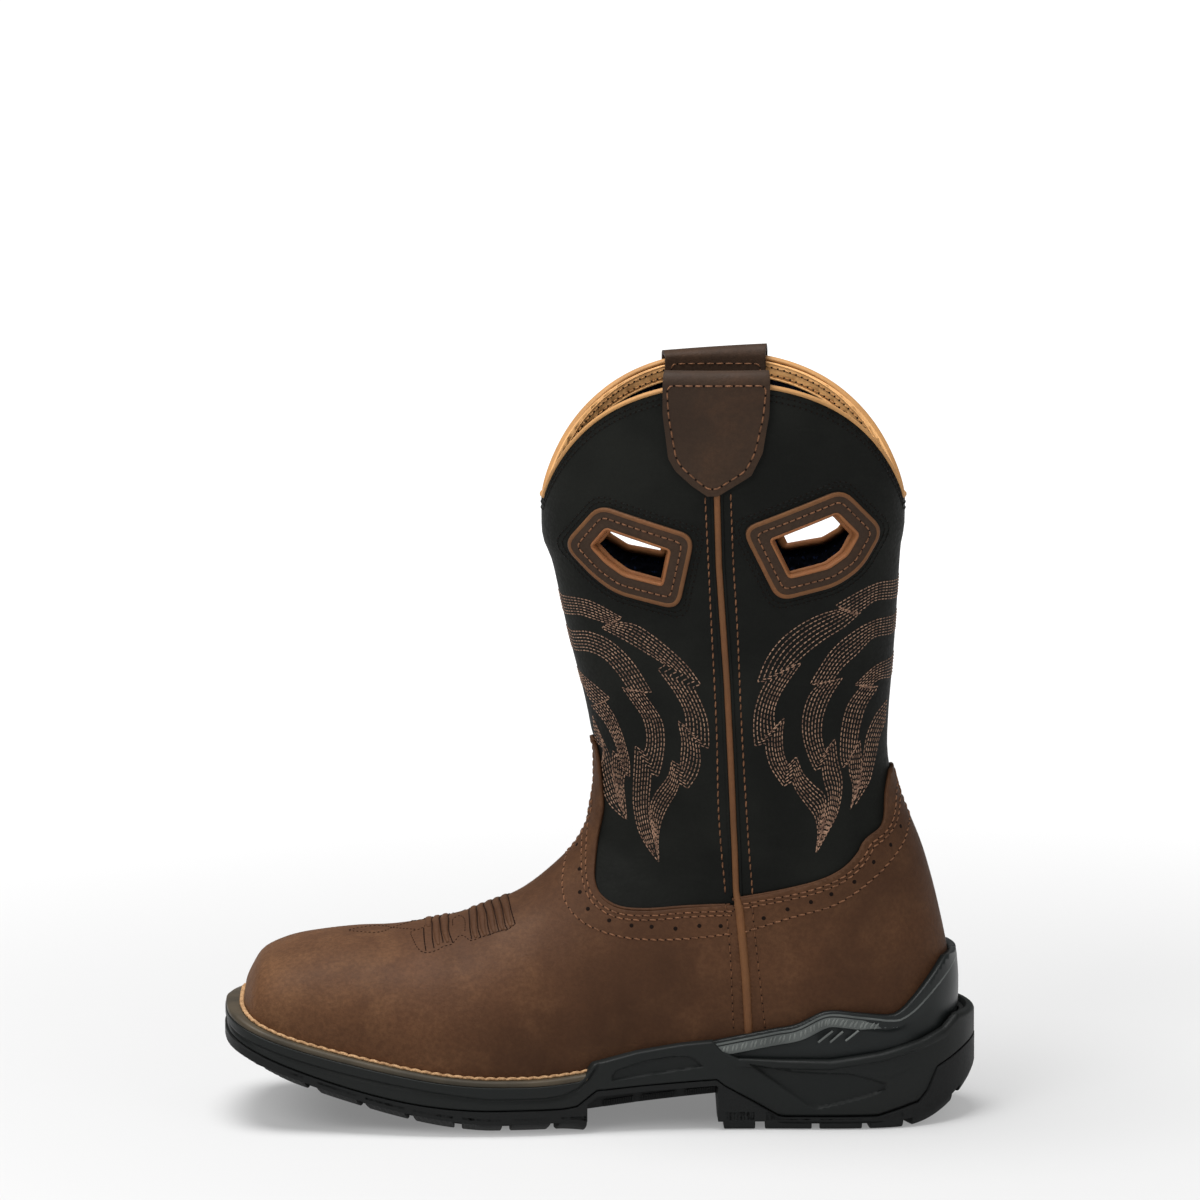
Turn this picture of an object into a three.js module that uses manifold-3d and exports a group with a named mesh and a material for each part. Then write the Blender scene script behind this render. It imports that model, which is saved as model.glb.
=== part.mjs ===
// Western work boot, left foot, standing on its sole. Toe towards -X, outer side towards -Y, +Z up, millimetres.
// The origin is on the floor under the middle of the sole.
import * as THREE from "three";
import { mergeVertices } from "three/addons/utils/BufferGeometryUtils.js";
import Module from "manifold-3d";

const wasm = await Module();
wasm.setup();

// Driving dimensions.
const soleLength = 310; // toe tip to heel back
const ballWidth = 111; // sole across the ball
const ballThickness = 24.2; // floor to welt top at the ball
const seatHeight = 38.5; // floor to heel seat
const toeSpring = 25; // lift of the welt at the toe tip
const heelRoll = 17.5; // lift of the tread's edge at the heel back
const vampHeight = 95; // insole to ankle bend
const shaftRise = 175; // ankle bend to collar top
const shaftLength = 147.6; // shaft front to back at the collar
const shaftBreadth = 74.5; // shaft side to side at the collar
const shaftCentre = 50.6; // centre of the shaft ahead of or behind the origin
const collarDip = 52; // how far the collar drops at front and back
const upperWall = 2.6; // shaft leather with its lining
const overlayWall = 1.5; // vamp, counter and trim leather
const fit = 0.3; // gap between pieces that touch
const weltThickness = 3;
const weltReach = 15; // how far in the welt strip goes
const weltInset = 1.1; // welt edge behind the rubber's edge
const insoleThickness = 4.5;
const overlayIn = 0.3; // where the outer leathers start over the shaft leather
const lugReach = 15; // how far in the side notches go
const lugLayer = 10.2; // floor to the top of the lug rubber at the ball
const lugDepth = 5; // depth of the tread grooves under the forefoot
const heelLugDepth = 3.4; // depth of the grooves under the heel
const lugGap = 3.6; // width of a tread groove
const lugTaper = 1.3; // how far the heel's side leans in at its foot
const edgeLift = 3.4; // how far the forefoot's tread curls up at its side
const edgeCurl = 9; // width of that curl
const archHeight = 9; // floor to shank tread at its front
const archRise = 5.5; // further rise of the shank tread towards the heel
const shankFrom = -0.012; // where the shank tread starts, share of soleLength
const shankTo = 0.165; // where it ends
const shankInset = 6.5; // how far the shank tread stands in from the side
const stabilizerWall = 3.3;
const sideGroove = 0.9; // depth of the line round the midsole
const panelDepth = 1; // depth of the panels in its side
const pipingWidth = 3.2;
const pipingStand = 1.5; // how far the side piping stands out of the shaft
const strapWidth = 43.4;
const strapDrop = 45; // length of the strap's outer tab under the collar top
const strapInside = 26; // length of its inner tab
const strapWall = 1.9;
const strapLoop = 1.2; // clear height of the finger loop over the collar's binding
const handleSink = 70.7; // collar top to the middle of a front pull hole
const handleTilt = 4.9; // how much higher the rear holes sit
const handleLength = 36; // pull hole from side to side
const handleHeight = 26; // pull hole from bottom to top
const trimWidth = 8.2; // leather frame round a pull hole
const bindingHeight = 2.4;
const bindingStand = 0.8; // how far the collar binding stands proud each way
const facingDepth = 9.5; // tan band inside the collar
const facingWall = 1;
const skirt = 14; // spare length under the feather line, trimmed away

const ankleBend = seatHeight + vampHeight;
const collarTop = ankleBend + shaftRise;
const ledgeEnd = -0.02 * soleLength; // where the welt ends and the waist's wall starts
const coreFrom = 0.12 * soleLength; // where the heel seat starts to stand over the ledge
const toeEnd = -soleLength / 2;
const ballX = -0.142 * soleLength; // where toe spring starts

// Sole outline from toe to heel. outerAlong, innerAlong: shares of soleLength. outer, inner: shares of ballWidth.
const outlineRows = [
  { outerAlong: -0.4997, outer: 0.0901, innerAlong: -0.4974, inner: 0.0541 },
  { outerAlong: -0.4974, outer: 0.1712, innerAlong: -0.4932, inner: 0.1216 },
  { outerAlong: -0.4932, outer: 0.2432, innerAlong: -0.4877, inner: 0.1892 },
  { outerAlong: -0.4858, outer: 0.3018, innerAlong: -0.48, inner: 0.2613 },
  { outerAlong: -0.4742, outer: 0.3514, innerAlong: -0.4684, inner: 0.3243 },
  { outerAlong: -0.4565, outer: 0.3901, innerAlong: -0.45, inner: 0.3739 },
  { outerAlong: -0.4306, outer: 0.418, innerAlong: -0.4226, inner: 0.4108 },
  { outerAlong: -0.3903, outer: 0.436, innerAlong: -0.3839, inner: 0.4396 },
  { outerAlong: -0.3419, outer: 0.455, innerAlong: -0.3387, inner: 0.4667 },
  { outerAlong: -0.2903, outer: 0.4775, innerAlong: -0.2903, inner: 0.4892 },
  { outerAlong: -0.2387, outer: 0.4946, innerAlong: -0.2484, inner: 0.5 },
  { outerAlong: -0.1871, outer: 0.5, innerAlong: -0.2032, inner: 0.4937 },
  { outerAlong: -0.1355, outer: 0.4973, innerAlong: -0.1548, inner: 0.4703 },
  { outerAlong: -0.0839, outer: 0.482, innerAlong: -0.1032, inner: 0.4378 },
  { outerAlong: -0.0387, outer: 0.4577, innerAlong: -0.0516, inner: 0.4099 },
  { outerAlong: 0.0065, outer: 0.4324, innerAlong: 0.0, inner: 0.3901 },
  { outerAlong: 0.0516, outer: 0.4072, innerAlong: 0.0516, inner: 0.3784 },
  { outerAlong: 0.1032, outer: 0.391, innerAlong: 0.1065, inner: 0.3739 },
  { outerAlong: 0.1613, outer: 0.3829, innerAlong: 0.1645, inner: 0.3739 },
  { outerAlong: 0.2194, outer: 0.3802, innerAlong: 0.2226, inner: 0.3748 },
  { outerAlong: 0.2774, outer: 0.382, innerAlong: 0.2774, inner: 0.3766 },
  { outerAlong: 0.329, outer: 0.3811, innerAlong: 0.329, inner: 0.373 },
  { outerAlong: 0.371, outer: 0.3694, innerAlong: 0.371, inner: 0.3604 },
  { outerAlong: 0.4065, outer: 0.3423, innerAlong: 0.4065, inner: 0.3333 },
  { outerAlong: 0.4387, outer: 0.2973, innerAlong: 0.4387, inner: 0.291 },
  { outerAlong: 0.4645, outer: 0.2387, innerAlong: 0.4645, inner: 0.2342 },
  { outerAlong: 0.4839, outer: 0.1667, innerAlong: 0.4839, inner: 0.164 },
  { outerAlong: 0.4955, outer: 0.0883, innerAlong: 0.4955, inner: 0.0865 },
];

// Sections of the foot, each from a point on the vamp to a point under the foot or up the heel's back.
// top, end: shares of soleLength. rise: vamp point above the feather line, share of vampHeight. lift: height of the
// heel point above the seat, share of vampHeight, or null under the foot. outer, inner: half widths, share of
// ballWidth. widest: where along the section it is widest. crown, foot: roundness above and below that.
// base: width left at the end, as a share of the half width.
const footRows = [
  { top: -0.4668, rise: 0.074, end: -0.4668, lift: null, outer: 0.2, inner: 0.185, widest: 0.4, crown: 2.4, foot: 2.4, base: 0.93 },
  { top: -0.458, rise: 0.148, end: -0.459, lift: null, outer: 0.29, inner: 0.277, widest: 0.5, crown: 2.4, foot: 2.4, base: 0.93 },
  { top: -0.4468, rise: 0.217, end: -0.448, lift: null, outer: 0.325, inner: 0.315, widest: 0.54, crown: 2.45, foot: 2.4, base: 0.93 },
  { top: -0.429, rise: 0.271, end: -0.43, lift: null, outer: 0.35, inner: 0.346, widest: 0.57, crown: 2.5, foot: 2.4, base: 0.93 },
  { top: -0.403, rise: 0.329, end: -0.404, lift: null, outer: 0.367, inner: 0.367, widest: 0.6, crown: 2.5, foot: 2.4, base: 0.93 },
  { top: -0.368, rise: 0.385, end: -0.368, lift: null, outer: 0.381, inner: 0.382, widest: 0.62, crown: 2.45, foot: 2.4, base: 0.93 },
  { top: -0.323, rise: 0.441, end: -0.323, lift: null, outer: 0.402, inner: 0.401, widest: 0.63, crown: 2.35, foot: 2.3, base: 0.93 },
  { top: -0.274, rise: 0.484, end: -0.274, lift: null, outer: 0.424, inner: 0.42, widest: 0.64, crown: 2.2, foot: 2.3, base: 0.93 },
  { top: -0.226, rise: 0.536, end: -0.226, lift: null, outer: 0.438, inner: 0.422, widest: 0.65, crown: 2.05, foot: 2.3, base: 0.93 },
  { top: -0.181, rise: 0.586, end: -0.177, lift: null, outer: 0.443, inner: 0.41, widest: 0.66, crown: 1.95, foot: 2.2, base: 0.93 },
  { top: -0.145, rise: 0.635, end: -0.129, lift: null, outer: 0.44, inner: 0.393, widest: 0.67, crown: 1.9, foot: 2.2, base: 0.93 },
  { top: -0.111, rise: 0.682, end: -0.077, lift: null, outer: 0.42, inner: 0.368, widest: 0.68, crown: 1.87, foot: 2.2, base: 0.93 },
  { top: -0.083, rise: 0.741, end: 0.0, lift: null, outer: 0.381, inner: 0.34, widest: 0.68, crown: 1.85, foot: 2.2, base: 0.93 },
  { top: -0.0516, rise: 0.823, end: 0.09, lift: null, outer: 0.344, inner: 0.321, widest: 0.66, crown: 1.87, foot: 2.2, base: 0.93 },
  { top: -0.031, rise: 0.889, end: 0.187, lift: null, outer: 0.327, inner: 0.314, widest: 0.65, crown: 1.9, foot: 2.2, base: 0.93 },
  { top: -0.0184, rise: 0.951, end: 0.29, lift: null, outer: 0.322, inner: 0.314, widest: 0.66, crown: 1.92, foot: 2.2, base: 0.93 },
  { top: -0.0126, rise: 0.993, end: 0.372, lift: null, outer: 0.32, inner: 0.315, widest: 0.7, crown: 1.95, foot: 2.2, base: 0.86 },
  { top: -0.01, rise: 1.04, end: 0.42, lift: null, outer: 0.319, inner: 0.316, widest: 0.73, crown: 1.97, foot: 2.2, base: 0.62 },
  { top: -0.0077, rise: 1.082, end: 0.45, lift: -0.09, outer: 0.318, inner: 0.315, widest: 0.74, crown: 1.98, foot: 2.2, base: 0 },
  { top: -0.0055, rise: 1.123, end: 0.4587, lift: 0.037, outer: 0.317, inner: 0.314, widest: 0.74, crown: 2, foot: 2.2, base: 0 },
  { top: -0.0035, rise: 1.175, end: 0.4607, lift: 0.163, outer: 0.316, inner: 0.313, widest: 0.72, crown: 2, foot: 2.15, base: 0 },
  { top: -0.0035, rise: 1.227, end: 0.4577, lift: 0.29, outer: 0.315, inner: 0.312, widest: 0.69, crown: 2.02, foot: 2.1, base: 0 },
  { top: -0.0035, rise: 1.28, end: 0.449, lift: 0.437, outer: 0.313, inner: 0.31, widest: 0.65, crown: 2.03, foot: 2.1, base: 0 },
];

// Sections of the shaft. front, back: reach from the shaft's centre, share of shaftLength. frontUp, backUp: height over
// the ankle bend, share of shaftRise. half: half breadth, share of shaftBreadth. widest, crown and foot as above.
const shaftRows = [
  { front: -0.353, frontUp: 0.115, back: 0.573, backUp: -0.21, half: 0.477, widest: 0.6, crown: 2.05, foot: 2.08 },
  { front: -0.3665, frontUp: 0.149, back: 0.541, backUp: -0.121, half: 0.47, widest: 0.56, crown: 2.05, foot: 2.08 },
  { front: -0.377, frontUp: 0.194, back: 0.486, backUp: -0.004, half: 0.463, widest: 0.53, crown: 2.05, foot: 2.05 },
  { front: -0.3915, frontUp: 0.25, back: 0.461, backUp: 0.088, half: 0.46, widest: 0.51, crown: 2.05, foot: 2.05 },
  { front: -0.4105, frontUp: 0.312, back: 0.462, backUp: 0.188, half: 0.462, widest: 0.5, crown: 2.05, foot: 2.05 },
  { front: -0.4325, frontUp: 0.385, back: 0.473, backUp: 0.306, half: 0.468, widest: 0.5, crown: 2.05, foot: 2.05 },
  { front: -0.4545, frontUp: 0.469, back: 0.482, backUp: 0.418, half: 0.477, widest: 0.5, crown: 2.07, foot: 2.07 },
  { front: -0.473, frontUp: 0.542, back: 0.489, backUp: 0.522, half: 0.486, widest: 0.5, crown: 2.1, foot: 2.1 },
  { front: -0.4965, frontUp: 0.615, back: 0.4955, backUp: 0.611, half: 0.494, widest: 0.5, crown: 2.1, foot: 2.1 },
  { front: -0.5, frontUp: 0.68, back: 0.5, backUp: 0.68, half: 0.498, widest: 0.5, crown: 2.1, foot: 2.1 },
  { front: -0.5, frontUp: 1.08, back: 0.5, backUp: 1.08, half: 0.5, widest: 0.5, crown: 2.1, foot: 2.1 },
];

const sideSteps = 8; // points down each side of a section
const lineSteps = 20; // points of a height line along the boot
const farX = 0.6 * soleLength; // beyond the boot along X
const farY = ballWidth; // beyond it along Y
const farZ = 2 * collarTop; // beyond it along Z

// Edge lines, as a side view. along: share of soleLength. up: share of the height named beside each table.
// Height over the feather line of the midsole's wall, in front of the stabilizer, share of seatHeight.
const waistWallRows = [
  { along: -0.02, up: 0.0 },
  { along: -0.008, up: 0.06 },
  { along: 0.05, up: 0.085 },
  { along: 0.11, up: 0.065 },
  { along: 0.15, up: 0.035 },
  { along: 0.162, up: -0.09 },
  { along: 0.185, up: -0.2 },
];
// Ledge that the stabilizer stands on, share of seatHeight above the floor.
const ledgeRows = [
  { along: 0.185, up: 0.775 },
  { along: 0.24, up: 0.758 },
  { along: 0.306, up: 0.752 },
  { along: 0.374, up: 0.83 },
  { along: 0.429, up: 0.935 },
  { along: 0.46, up: 1.03 },
  { along: 0.478, up: 1.15 },
  { along: 0.5, up: 1.14 },
];
// Top edge of the stabilizer, share of seatHeight above the floor.
const stabilizerRows = [
  { along: 0.15, up: 0.955 },
  { along: 0.225, up: 1.075 },
  { along: 0.26, up: 1.13 },
  { along: 0.3, up: 1.275 },
  { along: 0.345, up: 1.25 },
  { along: 0.385, up: 1.215 },
  { along: 0.402, up: 1.265 },
  { along: 0.42, up: 1.43 },
  { along: 0.44, up: 1.63 },
  { along: 0.456, up: 1.79 },
  { along: 0.462, up: 1.84 },
  { along: 0.6, up: 1.84 },
];
// Line between lug rubber and midsole behind the ball, share of seatHeight.
const partingRows = [
  { along: -0.05, up: 0.268 },
  { along: -0.03, up: 0.29 },
  { along: -0.003, up: 0.455 },
  { along: 0.155, up: 0.54 },
  { along: 0.166, up: 0.47 },
  { along: 0.237, up: 0.135 },
  { along: 0.245, up: 0.125 },
  { along: 0.37, up: 0.125 },
  { along: 0.425, up: 0.25 },
  { along: 0.436, up: 0.36 },
  { along: 0.449, up: 0.61 },
  { along: 0.459, up: 0.655 },
  { along: 0.487, up: 0.78 },
  { along: 0.52, up: 0.92 },
];
// Panels sunk into the midsole's side at the waist and the heel, share of seatHeight above the floor.
const waistPanelRows = [
  { along: 0.0145, up: 0.561 },
  { along: 0.0145, up: 0.626 },
  { along: 0.02, up: 0.691 },
  { along: 0.0584, up: 0.779 },
  { along: 0.1074, up: 0.834 },
  { along: 0.1181, up: 0.823 },
  { along: 0.1377, up: 0.714 },
  { along: 0.139, up: 0.691 },
];
const heelPanelRows = [
  { along: 0.2255, up: 0.54 },
  { along: 0.2758, up: 0.247 },
  { along: 0.289, up: 0.216 },
  { along: 0.3181, up: 0.27 },
  { along: 0.3777, up: 0.421 },
  { along: 0.389, up: 0.553 },
  { along: 0.3274, up: 0.629 },
];
// Vamp's top edge, from the tip of its tongue to the side seam. up: share of vampHeight above the seat.
const vampRows = [
  { along: -0.55, up: 1.24 },
  { along: -0.0103, up: 1.24 },
  { along: -0.003, up: 1.16 },
  { along: 0.0025, up: 1.03 },
  { along: 0.0045, up: 0.94 },
  { along: -0.001, up: 0.847 },
  { along: -0.0045, up: 0.733 },
  { along: -0.0045, up: 0.66 },
  { along: 0.005, up: 0.604 },
  { along: 0.026, up: 0.566 },
  { along: 0.06, up: 0.564 },
  { along: 0.113, up: 0.578 },
  { along: 0.176, up: 0.59 },
  { along: 0.21, up: 0.597 },
];
// Counter's top edge, from the side seam to the tip behind the ankle.
const counterRows = [
  { along: 0.145, up: 0.58 },
  { along: 0.176, up: 0.59 },
  { along: 0.241, up: 0.636 },
  { along: 0.289, up: 0.678 },
  { along: 0.321, up: 0.729 },
  { along: 0.341, up: 0.792 },
  { along: 0.35, up: 0.841 },
  { along: 0.37, up: 0.884 },
  { along: 0.3785, up: 0.93 },
  { along: 0.381, up: 1.03 },
  { along: 0.3875, up: 1.115 },
  { along: 0.55, up: 1.115 },
];
// Side seam and its piping. along: share of soleLength. up: share of the height from feather line to collar top.
const seamRows = [
  { along: 0.1935, up: 0.0 },
  { along: 0.1895, up: 0.085 },
  { along: 0.181, up: 0.2 },
  { along: 0.1785, up: 0.287 },
  { along: 0.173, up: 0.42 },
  { along: 0.1675, up: 0.545 },
  { along: 0.162, up: 0.636 },
  { along: 0.1565, up: 0.727 },
  { along: 0.1535, up: 0.84 },
  { along: 0.1535, up: 1.05 },
];
// Corners of a pull hole. from: distance from the side seam towards the heel, share of handleLength. up: height over the
// hole's middle, share of handleHeight.
const frontHoleRows = [
  { from: -1.267, up: 0.438 },
  { from: -1.442, up: 0.135 },
  { from: -1.267, up: -0.115 },
  { from: -1.064, up: -0.304 },
  { from: -0.631, up: -0.438 },
  { from: -0.544, up: 0.142 },
];
const rearHoleRows = [
  { from: 0.581, up: 0.119 },
  { from: 0.8, up: -0.504 },
  { from: 1.25, up: -0.369 },
  { from: 1.453, up: -0.185 },
  { from: 1.583, up: 0.127 },
  { from: 1.336, up: 0.504 },
];
// Outer tab of a pull strap. across: distance from the seam towards the heel, share of strapWidth. down: share of strapDrop.
const strapRows = [
  { across: -0.5, down: -0.4 },
  { across: -0.5, down: 0.244 },
  { across: -0.452, down: 0.642 },
  { across: -0.387, down: 0.758 },
  { across: -0.23, down: 0.896 },
  { across: -0.088, down: 0.989 },
  { across: 0.009, down: 0.989 },
  { across: 0.32, down: 0.802 },
  { across: 0.426, down: 0.593 },
  { across: 0.484, down: 0.242 },
  { across: 0.5, down: -0.4 },
];
// Tread notches in the side of the forefoot and heel, share of soleLength.
const toeNotches = [-0.395, -0.329, -0.26, -0.192, -0.127, -0.061];
const heelNotches = [0.211, 0.284, 0.349, 0.408];

// Colours of the real materials.
const finish = (color, roughness) => new THREE.MeshStandardMaterial({ color, roughness, metalness: 0 });
const brownLeather = finish(0x5a3a25, 0.75);
const darkBrownLeather = finish(0x3d2920, 0.7);
const blackLeather = finish(0x1a1b1a, 0.6);
const tanLeather = finish(0xb9813f, 0.6);
const pipingLeather = finish(0x7a5430, 0.6);
const blackRubber = finish(0x1c1e1e, 0.65);
const treadRubber = finish(0x171818, 0.75);
const greyPlastic = finish(0x363a3c, 0.45);
const weltRubber = finish(0x4b453b, 0.7);
const footbedFabric = finish(0x22242a, 0.95);

// A closed solid from a geometry whose corners are merged.
function solidOf(geometry) {
  geometry.deleteAttribute("normal");
  geometry.deleteAttribute("uv");
  const merged = mergeVertices(geometry, 1e-4);
  return new wasm.Manifold(
    new wasm.Mesh({
      numProp: 3,
      vertProperties: new Float32Array(merged.attributes.position.array),
      triVerts: new Uint32Array(merged.index.array),
    }),
  );
}

// A solid from points and triangles, leaving out triangles that close to a line.
function solidFrom(points, triangles) {
  const same = (a, b) => points[a].distanceTo(points[b]) < 1e-4;
  const kept = triangles.filter(([a, b, c]) => !same(a, b) && !same(b, c) && !same(c, a));
  const geometry = new THREE.BufferGeometry();
  geometry.setAttribute("position", new THREE.Float32BufferAttribute(points.flatMap((p) => p.toArray()), 3));
  geometry.setIndex(kept.flat());
  return solidOf(geometry);
}

function meshOf(name, solid, material) {
  const made = solid.getMesh();
  const geometry = new THREE.BufferGeometry();
  geometry.setAttribute("position", new THREE.BufferAttribute(new Float32Array(made.vertProperties), 3));
  geometry.setIndex(new THREE.BufferAttribute(new Uint32Array(made.triVerts), 1));
  const flat = geometry.toNonIndexed();
  flat.computeVertexNormals();
  const mesh = new THREE.Mesh(flat, material);
  mesh.name = name;
  return mesh;
}

// The largest piece of a solid, without slivers that a cut leaves.
function largest(solid) {
  return solid.decompose().reduce((best, piece) => (piece.volume() > best.volume() ? piece : best));
}

// The value of a column of a table at a place along it, with straight runs between rows.
function valueOn(rows, place, column, at) {
  if (at <= rows[0][place]) return rows[0][column];
  for (let i = 1; i < rows.length; i++) {
    const [a, b] = [rows[i - 1], rows[i]];
    if (at <= b[place]) return a[column] + ((b[column] - a[column]) * (at - a[place])) / (b[place] - a[place]);
  }
  return rows[rows.length - 1][column];
}
const heightOn = (rows, unit, x) => unit * valueOn(rows, "along", "up", x / soleLength);

// A soft step from 0 to 1 between two shares of the sole's length.
function softStep(from, to, x) {
  const t = Math.min(1, Math.max(0, (x / soleLength - from) / (to - from)));
  return t * t * (3 - 2 * t);
}

// How far along the toe spring a place is: 0 at the ball and 1 at the toe tip.
const springShare = (x) => Math.max(0, (ballX - x) / (ballX - toeEnd));
const spring = (x) => toeSpring * springShare(x) ** 1.87;

// The feather line, where the upper meets the sole.
const featherZ = (x) => ballThickness + spring(x) + (seatHeight - ballThickness) * softStep(-0.1, 0.25, x);

// The bottom of the tread: toe spring in front, roll at the back of the heel.
function treadZ(x) {
  const roll = Math.max(0, (x / soleLength - 0.39) / 0.11);
  return 1.16 * toeSpring * springShare(x) ** 1.6 + heelRoll * roll ** 2.4;
}

// The line between lug rubber and midsole.
function partingZ(x) {
  const step = lugLayer - partingRows[0].up * seatHeight;
  if (x <= partingRows[0].along * soleLength) return lugLayer + 1.12 * spring(x);
  return heightOn(partingRows, seatHeight, x) + step * (1 - softStep(-0.05, 0, x));
}

// The top of the midsole's edge: under the upper, up the waist's wall, then along the stabilizer's ledge.
function midsoleTopZ(x) {
  const share = x / soleLength;
  if (share < waistWallRows[0].along) return featherZ(x) - fit;
  if (share < ledgeRows[0].along) return featherZ(x) + heightOn(waistWallRows, seatHeight, x);
  return heightOn(ledgeRows, seatHeight, x);
}

// The side seam, leaning forward as it rises.
function seamX(z) {
  const low = featherZ(seamRows[0].along * soleLength);
  return soleLength * valueOn(seamRows, "up", "along", (z - low) / (collarTop - low));
}

// Every section in millimetres.
function formRows() {
  const foot = footRows.map((r) => {
    const [topX, endX] = [r.top * soleLength, r.end * soleLength];
    const endZ = r.lift === null ? featherZ(endX) - skirt : seatHeight + r.lift * vampHeight;
    const topZ = featherZ(topX) + r.rise * vampHeight;
    return { ...r, topX, topZ, endX, endZ, outer: r.outer * ballWidth, inner: r.inner * ballWidth };
  });
  const shaft = shaftRows.map((r) => {
    const half = r.half * shaftBreadth;
    const [topX, endX] = [shaftCentre + r.front * shaftLength, shaftCentre + r.back * shaftLength];
    const [topZ, endZ] = [ankleBend + r.frontUp * shaftRise, ankleBend + r.backUp * shaftRise];
    return { ...r, topX, topZ, endX, endZ, outer: half, inner: half, base: 0 };
  });
  return foot.concat(shaft);
}

// The points of a section: its top, then down the outer side, then down the inner side.
function sectionPoints(row) {
  const along = new THREE.Vector3(row.endX - row.topX, 0, row.endZ - row.topZ);
  const side = (half) => {
    const points = [];
    for (let k = 1; k <= sideSteps; k++) {
      const turn = (k / sideSteps) * Math.PI;
      const upper = k <= sideSteps / 2;
      const power = 2 / (upper ? row.crown : row.foot);
      const depth = Math.abs(Math.cos(turn)) ** power;
      const width = k === sideSteps ? 0 : Math.sin(turn) ** power;
      const down = upper ? row.widest * (1 - depth) : row.widest + (1 - row.widest) * depth;
      const y = half * (upper ? width : row.base + (1 - row.base) * width);
      points.push(new THREE.Vector3(row.topX, y, row.topZ).addScaledVector(along, down));
    }
    return points;
  };
  return [new THREE.Vector3(row.topX, 0, row.topZ), ...side(-row.outer), ...side(row.inner)];
}

// Points and triangles of the whole form, closed at toe and top.
function formMesh() {
  const sections = formRows().map(sectionPoints);
  const size = 2 * sideSteps + 1;
  const points = sections.flat();
  const ring = [0];
  for (let k = 1; k <= sideSteps; k++) ring.push(k);
  for (let k = 2 * sideSteps; k > sideSteps; k--) ring.push(k);
  const triangles = [];
  for (let s = 0; s + 1 < sections.length; s++) {
    for (let k = 0; k < size; k++) {
      const [a, b] = [s * size + ring[k], s * size + ring[(k + 1) % size]];
      triangles.push([a, b, b + size], [a, b + size, a + size]);
    }
  }
  for (const s of [0, sections.length - 1]) {
    points.push(sections[s].reduce((sum, p) => sum.add(p), new THREE.Vector3()).divideScalar(size));
    for (let k = 0; k < size; k++) {
      const [a, b] = [s * size + ring[k], s * size + ring[(k + 1) % size]];
      triangles.push(s === 0 ? [points.length - 1, b, a] : [points.length - 1, a, b]);
    }
  }
  return { points, triangles };
}

// The form grown outwards by a distance, or shrunk by a negative one, along the normal at each corner.
const form = formMesh();
const grown = new Map();
function formAt(distance) {
  if (grown.has(distance)) return grown.get(distance);
  const key = (p) => p.toArray().map((v) => v.toFixed(3)).join();
  const normals = new Map(form.points.map((p) => [key(p), new THREE.Vector3()]));
  for (const corners of form.triangles) {
    const [a, b, c] = corners.map((i) => form.points[i]);
    const face = b.clone().sub(a).cross(c.clone().sub(a));
    for (const p of [a, b, c]) normals.get(key(p)).add(face);
  }
  const moved = form.points.map((p) => p.clone().addScaledVector(normals.get(key(p)).clone().normalize(), distance));
  grown.set(distance, solidFrom(moved, form.triangles));
  return grown.get(distance);
}
const shell = (from, to) => formAt(to).subtract(formAt(from));

// A block seen from the side: a closed outline of [x, z] points, drawn out along Y.
function sideBlock(points, fromY = -farY, toY = farY) {
  const shape = new THREE.Shape(points.map(([x, z]) => new THREE.Vector2(x, z)));
  const geometry = new THREE.ExtrudeGeometry(shape, { depth: toY - fromY, bevelEnabled: false });
  geometry.rotateX(Math.PI / 2);
  geometry.translate(0, toY, 0);
  return solidOf(geometry);
}
const halfBlock = (points, outerSide) => (outerSide ? sideBlock(points, -farY, 0) : sideBlock(points, 0, farY));

// A height line along the whole boot, with a point at every row of a table.
function lineOf(height, rows = []) {
  const own = rows.map((r) => r.along * soleLength);
  const places = [...own];
  for (let i = 0; i <= lineSteps; i++) {
    const x = -farX + (2 * farX * i) / lineSteps;
    if (own.every((v) => Math.abs(v - x) > 0.012 * soleLength)) places.push(x);
  }
  return places.sort((a, b) => a - b).map((x) => [x, height(x)]);
}
const closed = (line, z) => sideBlock([...line, [line[line.length - 1][0], z], [line[0][0], z]]);
const above = (line) => closed(line, farZ);
const below = (line) => closed(line, -farZ);
const level = (z) => [[-farX, z], [farX, z]];
const shifted = (height, by) => (x) => height(x) + by;
const edgePoints = (rows) => rows.map((r) => [r.along * soleLength, seatHeight + r.up * vampHeight]);

// The part of space over the collar's edge. Its underside is level across the leather and dips at front and back.
function overCollar(lift) {
  const rows = formRows();
  const section = sectionPoints(rows[rows.length - 1]);
  const outer = section.slice(0, sideSteps + 1);
  const ring = [...outer, ...section.slice(sideSteps + 1, -1).reverse()];
  const points = [];
  for (const p of ring) {
    const share = (p.x - shaftCentre) / (shaftLength / 2);
    const side = Math.sqrt(Math.max(0, 1 - share * share));
    const z = collarTop + lift - collarDip * (1 - side ** (1.45 - 0.5 * side));
    const reach = (scale, height) => new THREE.Vector3(shaftCentre + (p.x - shaftCentre) * scale, p.y * scale, height);
    points.push(reach(0.8, z), reach(1.2, z), reach(1.2, farZ));
  }
  const middle = points.push(new THREE.Vector3(shaftCentre, 0, collarTop)) - 1;
  const top = points.push(new THREE.Vector3(shaftCentre, 0, farZ)) - 1;
  const triangles = ring.flatMap((_, i) => {
    const [a, b] = [3 * i, 3 * ((i + 1) % ring.length)];
    const under = [[middle, b, a], [a, b, b + 1], [a, b + 1, a + 1]];
    return [...under, [a + 1, b + 1, b + 2], [a + 1, b + 2, a + 2], [a + 2, b + 2, top]];
  });
  return solidFrom(points, triangles);
}

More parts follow.
